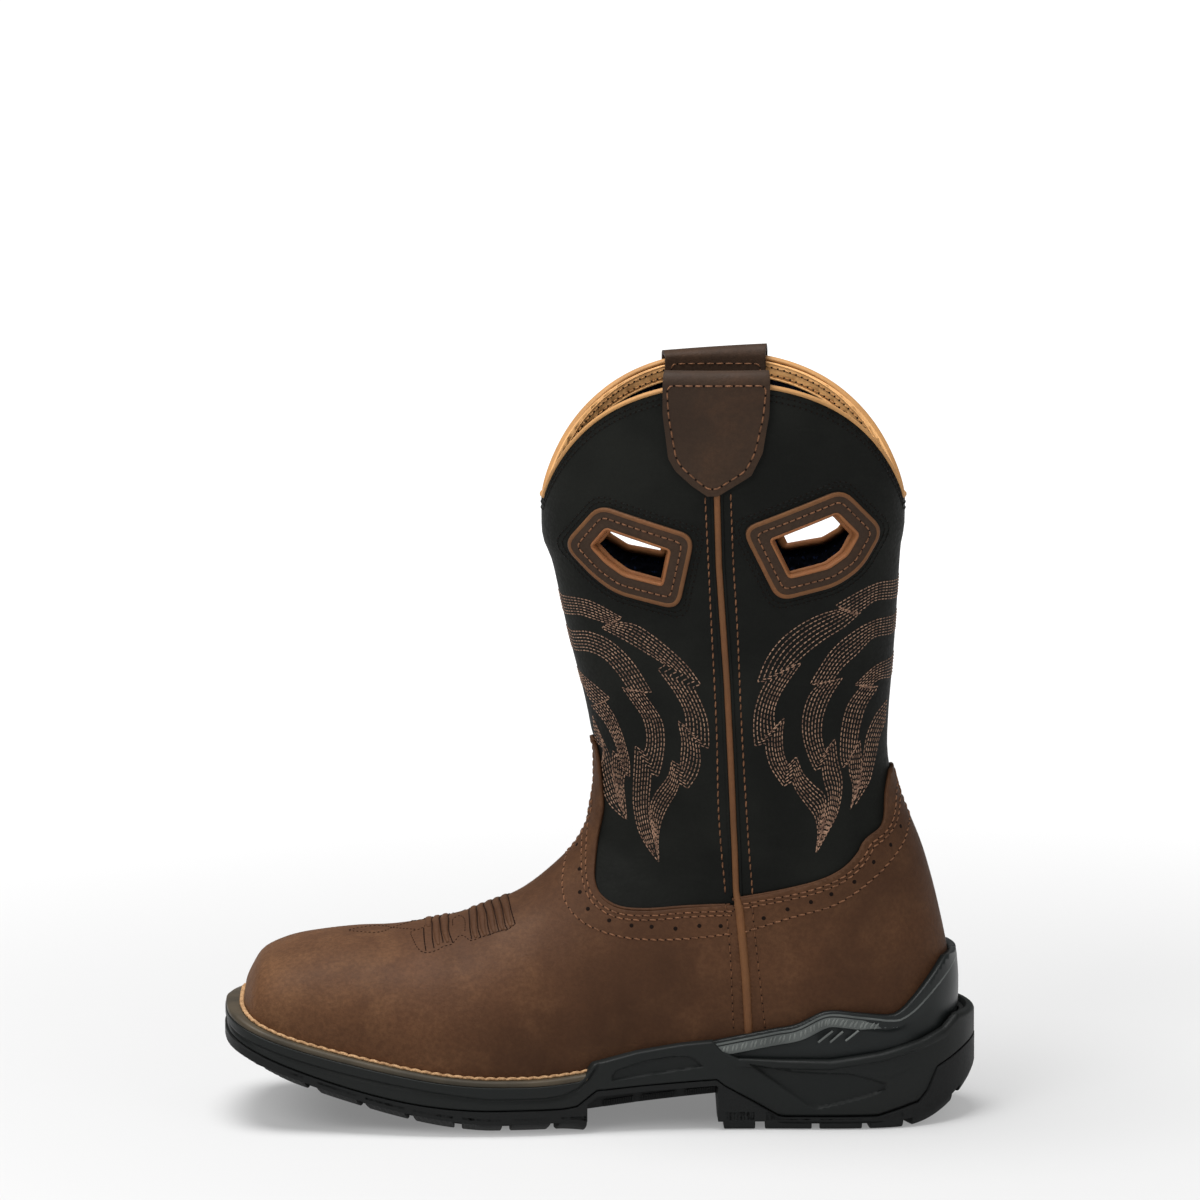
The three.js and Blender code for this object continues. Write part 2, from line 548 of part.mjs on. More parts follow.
// A loop of the sole's outline moved inwards: the outer side from toe to heel, then back up the inner side.
function outlineLoop(inset) {
  const outer = outlineRows.map((r) => new THREE.Vector3(r.outerAlong * soleLength, -r.outer * ballWidth, 0));
  const inner = outlineRows.map((r) => new THREE.Vector3(r.innerAlong * soleLength, r.inner * ballWidth, 0));
  const tip = new THREE.Vector3(toeEnd, 0, 0);
  const heel = new THREE.Vector3(-toeEnd, 0, 0);
  const loop = [tip, ...outer, heel, ...inner.reverse()];
  return loop.map((p, i) => {
    const along = loop[(i + 1) % loop.length].clone().sub(loop[(i + loop.length - 1) % loop.length]).normalize();
    return new THREE.Vector3(p.x - along.y * inset, p.y + along.x * inset, 0);
  });
}

// A solid between levels of the outline, from the bottom up. Each level has an inset and a height, functions of x.
function soleStack(levels) {
  const [edge, unit] = [outlineLoop(0), outlineLoop(1)];
  const size = edge.length;
  const points = levels.flatMap(({ inset, z }) =>
    edge.map((p, i) => {
      const q = p.clone().lerp(unit[i], inset(p.x));
      return q.setZ(z(q.x));
    }),
  );
  const triangles = [];
  for (let s = 0; s + 1 < levels.length; s++) {
    for (let k = 0; k < size; k++) {
      const [p, q] = [s * size + k, s * size + ((k + 1) % size)];
      triangles.push([p, q, q + size], [p, q + size, p + size]);
    }
  }
  const cap = (from, up) => {
    const add = (a, b, c) => triangles.push(up ? [from + a, from + b, from + c] : [from + a, from + c, from + b]);
    for (let k = 0; k < size / 2; k++) {
      const [a, b, c, d] = [k, k + 1, (size - k) % size, size - k - 1];
      if (c !== a) add(a, b, c);
      if (d !== b) add(b, d, c);
    }
  };
  cap(0, false);
  cap((levels.length - 1) * size, true);
  return solidFrom(points, triangles);
}
const always = (value) => () => value;
const prism = (inset) => soleStack([{ inset: always(inset), z: always(-farX) }, { inset: always(inset), z: always(farZ) }]);

const overlayOut = fit + overlayWall;
const cupIn = overlayOut + fit;
const aboveFeather = above(lineOf(featherZ));
const collarCut = overCollar(0);

// A pull hole's outline grown by a margin, in front of the seam or behind it.
function handleOutline(margin, behind) {
  const middle = collarTop - handleSink + (behind ? handleTilt : 0);
  const rows = behind ? rearHoleRows : frontHoleRows;
  const corners = rows.map((r) => new THREE.Vector2(r.from * handleLength, middle + r.up * handleHeight));
  for (const corner of corners) corner.x += seamX(middle);
  return corners.map((corner, i) => {
    const a = corner.clone().sub(corners[(i + corners.length - 1) % corners.length]).normalize();
    const b = corners[(i + 1) % corners.length].clone().sub(corner).normalize();
    const out = new THREE.Vector2(a.y + b.y, -a.x - b.x).normalize();
    const moved = corner.clone().addScaledVector(out, margin / (out.x * a.y - out.y * a.x));
    return [moved.x, moved.y];
  });
}

// A band along the side seam, seen from the side, from under the sole to over the collar.
function seamBand(half) {
  const low = featherZ(seamRows[0].along * soleLength);
  const heights = [-farZ, ...seamRows.map((r) => low + r.up * (collarTop - low))];
  const edge = (sign) => heights.map((z) => [seamX(z) + sign * half, z]);
  return [...edge(-1), ...edge(1).reverse()];
}

// The upper's wall: one hollow shell, open at the collar, underneath and at four pull holes.
function makeUpper() {
  let wall = shell(-upperWall, 0).intersect(aboveFeather).subtract(collarCut);
  for (const behind of [false, true]) wall = wall.subtract(sideBlock(handleOutline(0, behind)));
  return largest(wall);
}

// The brown leather on one side of the side seam. The strip that the seam cuts off behind it is left out.
function makeOverlay(rows) {
  const top = edgePoints(rows);
  const region = sideBlock([...top, [top[top.length - 1][0], 0], [top[0][0], 0]]);
  const seam = sideBlock(seamBand(pipingWidth / 2 + fit));
  return largest(shell(overlayIn, overlayOut).intersect(aboveFeather).intersect(region).subtract(seam));
}

// Leather frame round a pull hole.
function makeTrim(behind, outerSide) {
  const frame = halfBlock(handleOutline(trimWidth, behind), outerSide).subtract(sideBlock(handleOutline(0, behind)));
  return largest(shell(overlayIn, overlayOut).intersect(frame));
}

// Piping down the side seam, from the strap's tab to the sole.
function makePiping(outerSide) {
  const low = level(featherZ(seamX(seatHeight)) + fit);
  const high = level(collarTop - strapDrop - fit);
  const bead = shell(overlayIn, overlayIn + pipingStand).intersect(halfBlock(seamBand(pipingWidth / 2), outerSide));
  return largest(bead.intersect(above(low)).intersect(below(high)));
}

// A pull strap: a tab outside, a loop over the collar and a tab inside.
function makeStrap(outerSide) {
  const middle = seamX(collarTop);
  const strapTop = collarTop + 2 * fit + bindingHeight + strapLoop + strapWall;
  const outer = overlayIn + bindingStand;
  const inner = -upperWall - facingWall - 2 * fit - bindingStand;
  const tab = strapRows.map((r) => [middle + r.across * strapWidth, Math.min(strapTop, collarTop - r.down * strapDrop)]);
  const [front, back] = [tab[0][0], tab[tab.length - 1][0]];
  const bar = (from, to) => halfBlock([[front, from], [back, from], [back, to], [front, to]], outerSide);
  const outside = shell(outer, outer + strapWall).intersect(halfBlock(tab, outerSide));
  const inside = shell(inner - strapWall, inner).intersect(bar(collarTop - strapInside, strapTop));
  const over = shell(inner - strapWall, outer + strapWall).intersect(bar(strapTop - strapWall, strapTop));
  return largest(outside.add(inside).add(over));
}

// Rolled binding on the collar's edge.
function makeBinding() {
  const ring = shell(-upperWall - bindingStand, bindingStand);
  return largest(ring.intersect(overCollar(fit)).subtract(overCollar(fit + bindingHeight)));
}

// Tan band inside the collar.
function makeFacing() {
  const band = shell(-upperWall - fit - facingWall, -upperWall - fit);
  return largest(band.subtract(collarCut).intersect(overCollar(-facingDepth)));
}

function makeInsole() {
  const top = below(lineOf(shifted(featherZ, insoleThickness)));
  return largest(formAt(-upperWall - fit).intersect(aboveFeather).intersect(top));
}

// The welt: a strip under the upper's edge round the forefoot.
function makeWelt() {
  const end = ledgeEnd - fit;
  const sheet = soleStack([
    { inset: always(weltInset), z: shifted(featherZ, -fit - weltThickness) },
    { inset: always(weltInset), z: shifted(featherZ, -fit) },
  ]);
  return largest(sheet.subtract(prism(weltReach)).intersect(sideBlock([[-farX, 0], [end, 0], [end, farZ], [-farX, farZ]])));
}

const edgeRows = [...waistWallRows.slice(0, -1), ...ledgeRows];

// The midsole: a grooved band round the forefoot, a wall at the waist and a seat for the heel.
function makeMidsole() {
  const waist = (x) => 1 - softStep(0.02, 0.16, x);
  const groove = (x) => {
    const middle = lugLayer + 0.55 * (ballThickness - weltThickness - lugLayer);
    return middle + 1.03 * spring(x) + 0.25 * seatHeight * softStep(-0.06, 0.2, x);
  };
  const body = soleStack([
    { inset: always(0.5), z: shifted(groove, -0.6 * seatHeight) },
    { inset: always(0.2), z: shifted(groove, -sideGroove) },
    { inset: (x) => 0.2 + sideGroove * waist(x), z: groove },
    { inset: always(0.2), z: shifted(groove, sideGroove) },
    { inset: always(0.5), z: shifted(groove, 0.9 * seatHeight) },
  ]);
  const parting = above(lineOf(shifted(partingZ, fit), partingRows));
  const top = below(lineOf(midsoleTopZ, edgeRows));
  const seat = below(lineOf(shifted(featherZ, -fit)));
  const cup = formAt(cupIn).subtract(seat);
  const front = sideBlock([[-farX, 0], [ledgeEnd, 0], [ledgeEnd, farZ], [-farX, farZ]]);
  const trench = above(lineOf(shifted(featherZ, -weltThickness - 2 * fit))).intersect(front).subtract(prism(weltReach + fit));
  const rear = sideBlock([[coreFrom, 0], [farX, 0], [farX, farZ], [coreFrom, farZ]]);
  const core = formAt(overlayOut).intersect(seat).intersect(rear);
  const rim = [waistPanelRows, heelPanelRows]
    .map((rows) => sideBlock(rows.map((r) => [r.along * soleLength, r.up * seatHeight])))
    .reduce((sum, block) => sum.add(block))
    .subtract(prism(panelDepth));
  return largest(body.intersect(top).add(core).intersect(parting).subtract(cup).subtract(trench).subtract(rim));
}

// The stabilizer: a plastic clip round the heel that rises to a tongue at the back.
function makeStabilizer() {
  const bottom = above(lineOf(shifted(midsoleTopZ, fit), edgeRows));
  const top = stabilizerRows.map((r) => [r.along * soleLength, r.up * seatHeight]);
  const region = sideBlock([...top, [top[top.length - 1][0], 0], [top[0][0], 0]]);
  return largest(shell(cupIn, cupIn + stabilizerWall).intersect(region).intersect(bottom));
}

// The outsole: lugged rubber under forefoot and heel, joined by a shank tread that stands in from the side.
function makeOutsole() {
  const curl = (x) => edgeLift * (1 - softStep(-0.05, 0.02, x));
  const block = soleStack([
    { inset: (x) => lugTaper + edgeCurl * (1 - softStep(-0.05, 0.02, x)), z: treadZ },
    { inset: always(0.5), z: (x) => treadZ(x) + 1 + curl(x) },
    { inset: always(0), z: (x) => treadZ(x) + 3 + curl(x) },
    { inset: always(0), z: shifted(treadZ, 1.5 * seatHeight) },
  ]);
  const rubber = block.intersect(below(lineOf(partingZ, partingRows)));
  const [from, to] = [shankFrom * soleLength, shankTo * soleLength];
  const arch = sideBlock([[from - 4, -1], [from, archHeight], [to - 4, archHeight + archRise], [to + 1.5, -1]]);
  const strip = sideBlock([[from, 0], [to - 3, 0], [to - 3, farZ], [from, farZ]]);
  const sides = strip.subtract(prism(shankInset)).intersect(below(lineOf(shifted(partingZ, -2.2))));
  return largest(rubber.subtract(arch).subtract(sides).subtract(treadGrooves()));
}

// Grooves in the tread: notches in from the side, a channel behind them and bars across the middle.
function treadGrooves() {
  const zone = (from, to) => sideBlock([[from, -farZ], [to, -farZ], [to, farZ], [from, farZ]].map(([s, z]) => [s * soleLength, z]));
  const middle = prism(lugReach);
  const channel = middle.subtract(prism(lugReach + lugGap)).intersect(zone(-0.46, -0.03).add(zone(0.19, 0.46)));
  const half = lugGap / 2 / soleLength;
  let cuts = channel;
  for (const rows of [toeNotches, heelNotches]) {
    rows.forEach((share, i) => {
      cuts = cuts.add(zone(share - half, share + half).subtract(middle));
      if (i === 0) return;
      const between = (share + rows[i - 1]) / 2;
      cuts = cuts.add(zone(between - half, between + half).intersect(middle));
    });
  }
  const depth = (x) => lugDepth + (heelLugDepth - lugDepth) * softStep(0.05, 0.15, x);
  return cuts.intersect(below(lineOf((x) => treadZ(x) + depth(x))));
}

const boot = new THREE.Group();
boot.add(meshOf("outsole", makeOutsole(), treadRubber));
boot.add(meshOf("midsole", makeMidsole(), blackRubber));
boot.add(meshOf("heel_stabilizer", makeStabilizer(), greyPlastic));
boot.add(meshOf("welt", makeWelt(), weltRubber));
boot.add(meshOf("insole", makeInsole(), footbedFabric));
boot.add(meshOf("upper", makeUpper(), blackLeather));
boot.add(meshOf("vamp", makeOverlay(vampRows), brownLeather));
boot.add(meshOf("heel_counter", makeOverlay(counterRows), brownLeather));
boot.add(meshOf("collar_binding", makeBinding(), tanLeather));
boot.add(meshOf("collar_facing", makeFacing(), tanLeather));
for (const outerSide of [true, false]) {
  const side = outerSide ? "outer" : "inner";
  boot.add(meshOf(`side_piping_${side}`, makePiping(outerSide), pipingLeather));
  boot.add(meshOf(`pull_strap_${side}`, makeStrap(outerSide), darkBrownLeather));
  for (const behind of [false, true]) {
    const place = behind ? "rear" : "front";
    boot.add(meshOf(`pull_hole_trim_${place}_${side}`, makeTrim(behind, outerSide), darkBrownLeather));
  }
}
export default boot;
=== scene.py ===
"""Western work boot: leather upper with flame stitching on a lugged rubber sole, dressed over its fixed frame."""

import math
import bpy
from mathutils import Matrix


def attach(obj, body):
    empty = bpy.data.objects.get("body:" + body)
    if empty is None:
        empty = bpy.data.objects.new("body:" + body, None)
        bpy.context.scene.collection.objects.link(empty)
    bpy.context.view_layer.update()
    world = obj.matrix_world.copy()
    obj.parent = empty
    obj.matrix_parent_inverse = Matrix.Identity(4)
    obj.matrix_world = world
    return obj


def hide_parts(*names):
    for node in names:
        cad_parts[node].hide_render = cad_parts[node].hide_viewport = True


bl_info = {
    "name": "Western Work Boot",
    "version": (1, 0, 0),
    "blender": (4, 5, 0),
    "location": "View3D > Sidebar > Boot",
    "description": "Builds the leathers, stitching and sole of a pull-on western work boot",
    "category": "Object",
}

import bmesh
import bpy
import numpy as np
from bpy.props import FloatProperty, FloatVectorProperty, IntProperty, PointerProperty
from mathutils import Vector
from mathutils.bvhtree import BVHTree

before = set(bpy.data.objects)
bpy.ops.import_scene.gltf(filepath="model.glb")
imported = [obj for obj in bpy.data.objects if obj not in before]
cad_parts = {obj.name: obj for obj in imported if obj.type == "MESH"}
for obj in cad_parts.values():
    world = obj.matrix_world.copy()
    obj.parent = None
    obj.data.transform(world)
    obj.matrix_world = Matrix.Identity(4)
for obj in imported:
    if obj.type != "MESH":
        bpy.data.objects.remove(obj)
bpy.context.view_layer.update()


def srgb(red, green, blue):
    """A colour from its eight-bit screen values."""
    def linear(level):
        level /= 255
        return level / 12.92 if level <= 0.04045 else ((level + 0.055) / 1.055) ** 2.4

    return (linear(red), linear(green), linear(blue))


def length(name, millimetres, description):
    return FloatProperty(name=name, description=description, default=millimetres / 1000, min=0.0, max=0.1,
                         subtype="DISTANCE", unit="LENGTH", precision=5)


def colour(name, red, green, blue, description):
    return FloatVectorProperty(name=name, description=description, default=srgb(red, green, blue), size=3, min=0.0,
                               max=1.0, subtype="COLOR")


class BootSizes(bpy.types.PropertyGroup):
    """Sizes of leathers, beads and threads"""
    overlay: length("Overlay", 1.5, "Thickness of vamp, counter and trim leather")
    wall: length("Shaft Wall", 2.6, "Thickness of shaft leather with its lining")
    strap: length("Strap", 1.9, "Thickness of a pull strap")
    border: length("Trim Border", 2.0, "Width of the raised border round a pull hole")
    edge: length("Cut Edge", 1.3, "Thickness of a rolled leather edge")
    piping: length("Piping", 3.2, "Width of the side piping")
    binding: length("Binding", 2.1, "Height of the rolled collar edge")
    thread: length("Seam Thread", 0.66, "Thickness of seam thread")
    stitch: length("Stitch", 3.4, "Length of a seam stitch")
    flame_thread: length("Flame Thread", 0.47, "Thickness of embroidery thread")
    flame_stitch: length("Flame Stitch", 2.1, "Length of an embroidery stitch")
    flame_rows: IntProperty(name="Flame Rows", description="Rows of thread in a flame band", default=7, min=2, max=9)
    welt_stitch: length("Welt Stitch", 4.4, "Length of a welt stitch")
    hole: length("Perforation", 1.8, "Width of a punched hole")


class BootColours(bpy.types.PropertyGroup):
    """Colours of the boot's materials"""
    brown: colour("Brown Leather", 92, 61, 40, "Vamp and counter leather")
    # Its darker clouds are the leather's own; mixed in towards the back and low at the waist it is painted shade.
    brown_clouds_and_painted_shade: colour("Brown Shade", 56, 35, 21, "Darker clouds in the brown leather")
    # Its rubbed places are real wear; mixed in over the toe it is painted highlight.
    brown_rubbed_and_painted_highlight: colour("Brown Highlight", 116, 82, 55, "Rubbed places in the brown leather")
    trim: colour("Trim Leather", 66, 50, 38, "Straps and pull-hole frames")
    trim_dark: colour("Trim Shade", 44, 32, 24, "Darker clouds in the trim leather")
    border: colour("Border Leather", 118, 81, 50, "Raised borders and piping")
    edging: colour("Edging", 150, 92, 58, "Inner edging of the pull holes")
    black: colour("Black Leather", 17, 18, 16, "Shaft leather")
    black_light: colour("Black Highlight", 29, 30, 27, "Rubbed places in the shaft leather")
    tan: colour("Tan Leather", 180, 134, 84, "Collar edge and its inner band")
    flame: colour("Flame Thread", 172, 136, 112, "Embroidery thread")
    seam: colour("Seam Thread", 136, 93, 64, "Brown seam thread")
    welt_thread: colour("Welt Thread", 196, 158, 116, "Thread round the welt")
    lining: colour("Lining", 12, 15, 24, "Mesh lining")
    rubber: colour("Rubber", 24, 26, 25, "Midsole")
    tread: colour("Tread", 20, 21, 21, "Lugged tread")
    clip: colour("Heel Clip", 26, 30, 30, "Stabilizer round the heel")
    welt: colour("Welt", 72, 63, 49, "Strip round the forefoot")


# The frame's own measures, in millimetres.
SOLE_LENGTH = 310.0
BALL_WIDTH = 111.0
BALL_THICKNESS = 24.2
SEAT_HEIGHT = 38.5
TOE_SPRING = 25.0
HEEL_ROLL = 17.5
VAMP_HEIGHT = 95.0
SHAFT_RISE = 175.0
SHAFT_LENGTH = 147.6
SHAFT_BREADTH = 74.5
SHAFT_CENTRE = 50.6
COLLAR_DIP = 52.0
SKIRT = 14.0
WELT_THICKNESS = 2.5
UPPER_WALL = 2.6
FIT = 0.3
OVERLAY_OUT = 1.8  # from the shaft leather to the outside of vamp and counter
CLIP_OUT = 5.4  # from the shaft leather to the outside of the heel clip
STRAP_WIDTH = 43.4
STRAP_DROP = 45.0  # from the collar's top to the tip of a strap's outer tab
PULL_HOLE_DROP = 70.7  # from the collar's top to the middle of a front pull hole
PULL_HOLE_RISE = 4.9  # how much higher the rear ones sit
PULL_HOLE_UNIT = 36, 26
GROOVE_HEIGHT = 14.75  # the midsole's groove at the ball
NOTCH = 3.6  # between two lugs
TREAD_FRONT = -139.0
FOREFOOT_BACK = -6.0
HEEL_BREAST = 50.5
VIEW_SCALE = 2.432  # pixels of the photograph per millimetre
VIEW_WIDTH = 1200
VIEW_DISTANCE = 5.0
VIEW_TILT = 10.9
VIEW_AIM = 0.2136  # height in metres of the middle of the view
ANKLE_BEND = SEAT_HEIGHT + VAMP_HEIGHT
COLLAR_TOP = ANKLE_BEND + SHAFT_RISE
TOE_END = -SOLE_LENGTH / 2
BALL_X = -0.142 * SOLE_LENGTH

# Sections of the foot: top, rise, end, lift, outer, inner, widest, crown, foot, base. None means under the foot.
FOOT_ROWS = [
    (-0.4684, -0.06, -0.4684, None, 0.09, 0.085, 0.3, 2.4, 2.4, 0.93),
    (-0.4678, 0.0, -0.4678, None, 0.155, 0.145, 0.35, 2.4, 2.4, 0.93),
    (-0.4668, 0.074, -0.4668, None, 0.2, 0.185, 0.4, 2.4, 2.4, 0.93),
    (-0.458, 0.148, -0.459, None, 0.29, 0.277, 0.5, 2.4, 2.4, 0.93),
    (-0.4468, 0.217, -0.448, None, 0.325, 0.315, 0.54, 2.45, 2.4, 0.93),
    (-0.429, 0.271, -0.43, None, 0.35, 0.346, 0.57, 2.5, 2.4, 0.93),
    (-0.403, 0.329, -0.404, None, 0.367, 0.367, 0.6, 2.5, 2.4, 0.93),
    (-0.368, 0.385, -0.368, None, 0.381, 0.382, 0.62, 2.45, 2.4, 0.93),
    (-0.323, 0.441, -0.323, None, 0.402, 0.401, 0.63, 2.35, 2.3, 0.93),
    (-0.274, 0.484, -0.274, None, 0.424, 0.42, 0.64, 2.2, 2.3, 0.93),
    (-0.226, 0.536, -0.226, None, 0.438, 0.422, 0.65, 2.05, 2.3, 0.93),
    (-0.181, 0.586, -0.177, None, 0.443, 0.41, 0.66, 1.95, 2.2, 0.93),
    (-0.145, 0.635, -0.129, None, 0.44, 0.393, 0.67, 1.9, 2.2, 0.93),
    (-0.111, 0.682, -0.077, None, 0.42, 0.368, 0.68, 1.87, 2.2, 0.93),
    (-0.083, 0.741, 0.0, None, 0.381, 0.34, 0.68, 1.85, 2.2, 0.93),
    (-0.0516, 0.823, 0.09, None, 0.344, 0.321, 0.66, 1.87, 2.2, 0.93),
    (-0.031, 0.889, 0.187, None, 0.327, 0.314, 0.65, 1.9, 2.2, 0.93),
    (-0.0184, 0.951, 0.29, None, 0.322, 0.314, 0.66, 1.92, 2.2, 0.93),
    (-0.0126, 0.993, 0.372, None, 0.32, 0.315, 0.7, 1.95, 2.2, 0.86),
    (-0.01, 1.04, 0.42, None, 0.319, 0.316, 0.73, 1.97, 2.2, 0.62),
    (-0.0077, 1.082, 0.45, -0.09, 0.318, 0.315, 0.74, 1.98, 2.2, 0.0),
    (-0.0055, 1.123, 0.4587, 0.037, 0.317, 0.314, 0.74, 2.0, 2.2, 0.0),
    (-0.0035, 1.175, 0.4607, 0.163, 0.316, 0.313, 0.72, 2.0, 2.15, 0.0),
    (-0.0035, 1.227, 0.4577, 0.29, 0.315, 0.312, 0.69, 2.02, 2.1, 0.0),
    (-0.0035, 1.28, 0.449, 0.437, 0.313, 0.31, 0.65, 2.03, 2.1, 0.0),
]
# Sections of the shaft: front, front_up, back, back_up, half, widest, crown, foot.
SHAFT_ROWS = [
    (-0.353, 0.115, 0.573, -0.21, 0.477, 0.6, 2.05, 2.08),
    (-0.3665, 0.149, 0.541, -0.121, 0.47, 0.56, 2.05, 2.08),
    (-0.377, 0.194, 0.486, -0.004, 0.463, 0.53, 2.05, 2.05),
    (-0.3915, 0.25, 0.461, 0.088, 0.46, 0.51, 2.05, 2.05),
    (-0.4105, 0.312, 0.462, 0.188, 0.462, 0.5, 2.05, 2.05),
    (-0.4325, 0.385, 0.473, 0.306, 0.468, 0.5, 2.05, 2.05),
    (-0.4545, 0.469, 0.482, 0.418, 0.477, 0.5, 2.07, 2.07),
    (-0.473, 0.542, 0.489, 0.522, 0.486, 0.5, 2.1, 2.1),
    (-0.4965, 0.615, 0.4955, 0.611, 0.494, 0.5, 2.1, 2.1),
    (-0.5, 0.68, 0.5, 0.68, 0.498, 0.5, 2.1, 2.1),
    (-0.5, 1.08, 0.5, 1.08, 0.5, 0.5, 2.1, 2.1),
]
# Sole outline: outer_along, outer, inner_along, inner.
OUTLINE_ROWS = [
    (-0.4997, 0.0901, -0.4974, 0.0541), (-0.4974, 0.1712, -0.4932, 0.1216), (-0.4932, 0.2432, -0.4877, 0.1892),
    (-0.4858, 0.3018, -0.48, 0.2613), (-0.4742, 0.3514, -0.4684, 0.3243), (-0.4565, 0.3901, -0.45, 0.3739),
    (-0.4306, 0.418, -0.4226, 0.4108), (-0.3903, 0.436, -0.3839, 0.4396), (-0.3419, 0.455, -0.3387, 0.4667),
    (-0.2903, 0.4775, -0.2903, 0.4892), (-0.2387, 0.4946, -0.2484, 0.5), (-0.1871, 0.5, -0.2032, 0.4937),
    (-0.1355, 0.4973, -0.1548, 0.4703), (-0.0839, 0.482, -0.1032, 0.4378), (-0.0387, 0.4577, -0.0516, 0.4099),
    (0.0065, 0.4324, 0.0, 0.3901), (0.0516, 0.4072, 0.0516, 0.3784), (0.1032, 0.391, 0.1065, 0.3739),
    (0.1613, 0.3829, 0.1645, 0.3739), (0.2194, 0.3802, 0.2226, 0.3748), (0.2774, 0.382, 0.2774, 0.3766),
    (0.329, 0.3811, 0.329, 0.373), (0.371, 0.3694, 0.371, 0.3604), (0.4065, 0.3423, 0.4065, 0.3333),
    (0.4387, 0.2973, 0.4387, 0.291), (0.4645, 0.2387, 0.4645, 0.2342), (0.4839, 0.1667, 0.4839, 0.164),
    (0.4955, 0.0883, 0.4955, 0.0865),
]
# Edge lines in the side view: share of the sole's length, share of the height named.
WAIST_WALL_ROWS = [(-0.02, 0.0), (-0.008, 0.06), (0.05, 0.085), (0.11, 0.065), (0.15, 0.035), (0.162, -0.09),
                   (0.185, -0.2)]
LEDGE_ROWS = [(0.185, 0.775), (0.24, 0.758), (0.306, 0.752), (0.374, 0.83), (0.429, 0.935), (0.46, 1.03), (0.478, 1.15),
              (0.5, 1.14)]
CLIP_ROWS = [(0.15, 0.955), (0.225, 1.075), (0.26, 1.13), (0.3, 1.275), (0.345, 1.25), (0.385, 1.215), (0.402, 1.265),
             (0.42, 1.4), (0.44, 1.57), (0.456, 1.715), (0.462, 1.77), (0.6, 1.77)]
PARTING_ROWS = [(-0.05, 0.268), (-0.03, 0.29), (-0.003, 0.455), (0.155, 0.54), (0.166, 0.47), (0.237, 0.135),
                (0.245, 0.125), (0.37, 0.125), (0.425, 0.25), (0.436, 0.36), (0.449, 0.61), (0.459, 0.655), (0.487, 0.78),
                (0.52, 0.92)]
VAMP_ROWS = [(-0.55, 1.24), (-0.0118, 1.24), (-0.0045, 1.16), (0.0005, 1.03), (0.002, 0.94), (-0.0035, 0.847),
             (-0.0075, 0.733), (-0.0075, 0.65), (0.0005, 0.588), (0.024, 0.545), (0.06, 0.537), (0.113, 0.551),
             (0.176, 0.566), (0.21, 0.574)]
COUNTER_ROWS = [(0.145, 0.58), (0.176, 0.59), (0.241, 0.636), (0.289, 0.678), (0.321, 0.729), (0.341, 0.792),
                (0.35, 0.841), (0.37, 0.884), (0.3785, 0.93), (0.381, 1.03), (0.3875, 1.115), (0.55, 1.115)]
SEAM_ROWS = [(0.0, 0.1935), (0.085, 0.1895), (0.2, 0.181), (0.287, 0.1785), (0.42, 0.173), (0.545, 0.1675),
             (0.636, 0.162), (0.727, 0.1565), (0.84, 0.1535), (1.05, 0.1535)]
STRAP_ROWS = [(-0.5, -0.4), (-0.5, 0.244), (-0.452, 0.642), (-0.387, 0.758), (-0.23, 0.896), (-0.088, 0.989),
              (0.009, 0.989), (0.32, 0.802), (0.426, 0.593), (0.484, 0.242), (0.5, -0.4)]
FRONT_HOLE_ROWS = [(-1.267, 0.438), (-1.442, 0.135), (-1.267, -0.115), (-1.064, -0.304), (-0.631, -0.438),
                   (-0.544, 0.142)]
REAR_HOLE_ROWS = [(0.581, 0.119), (0.8, -0.504), (1.25, -0.369), (1.453, -0.185), (1.583, 0.127), (1.336, 0.504)]


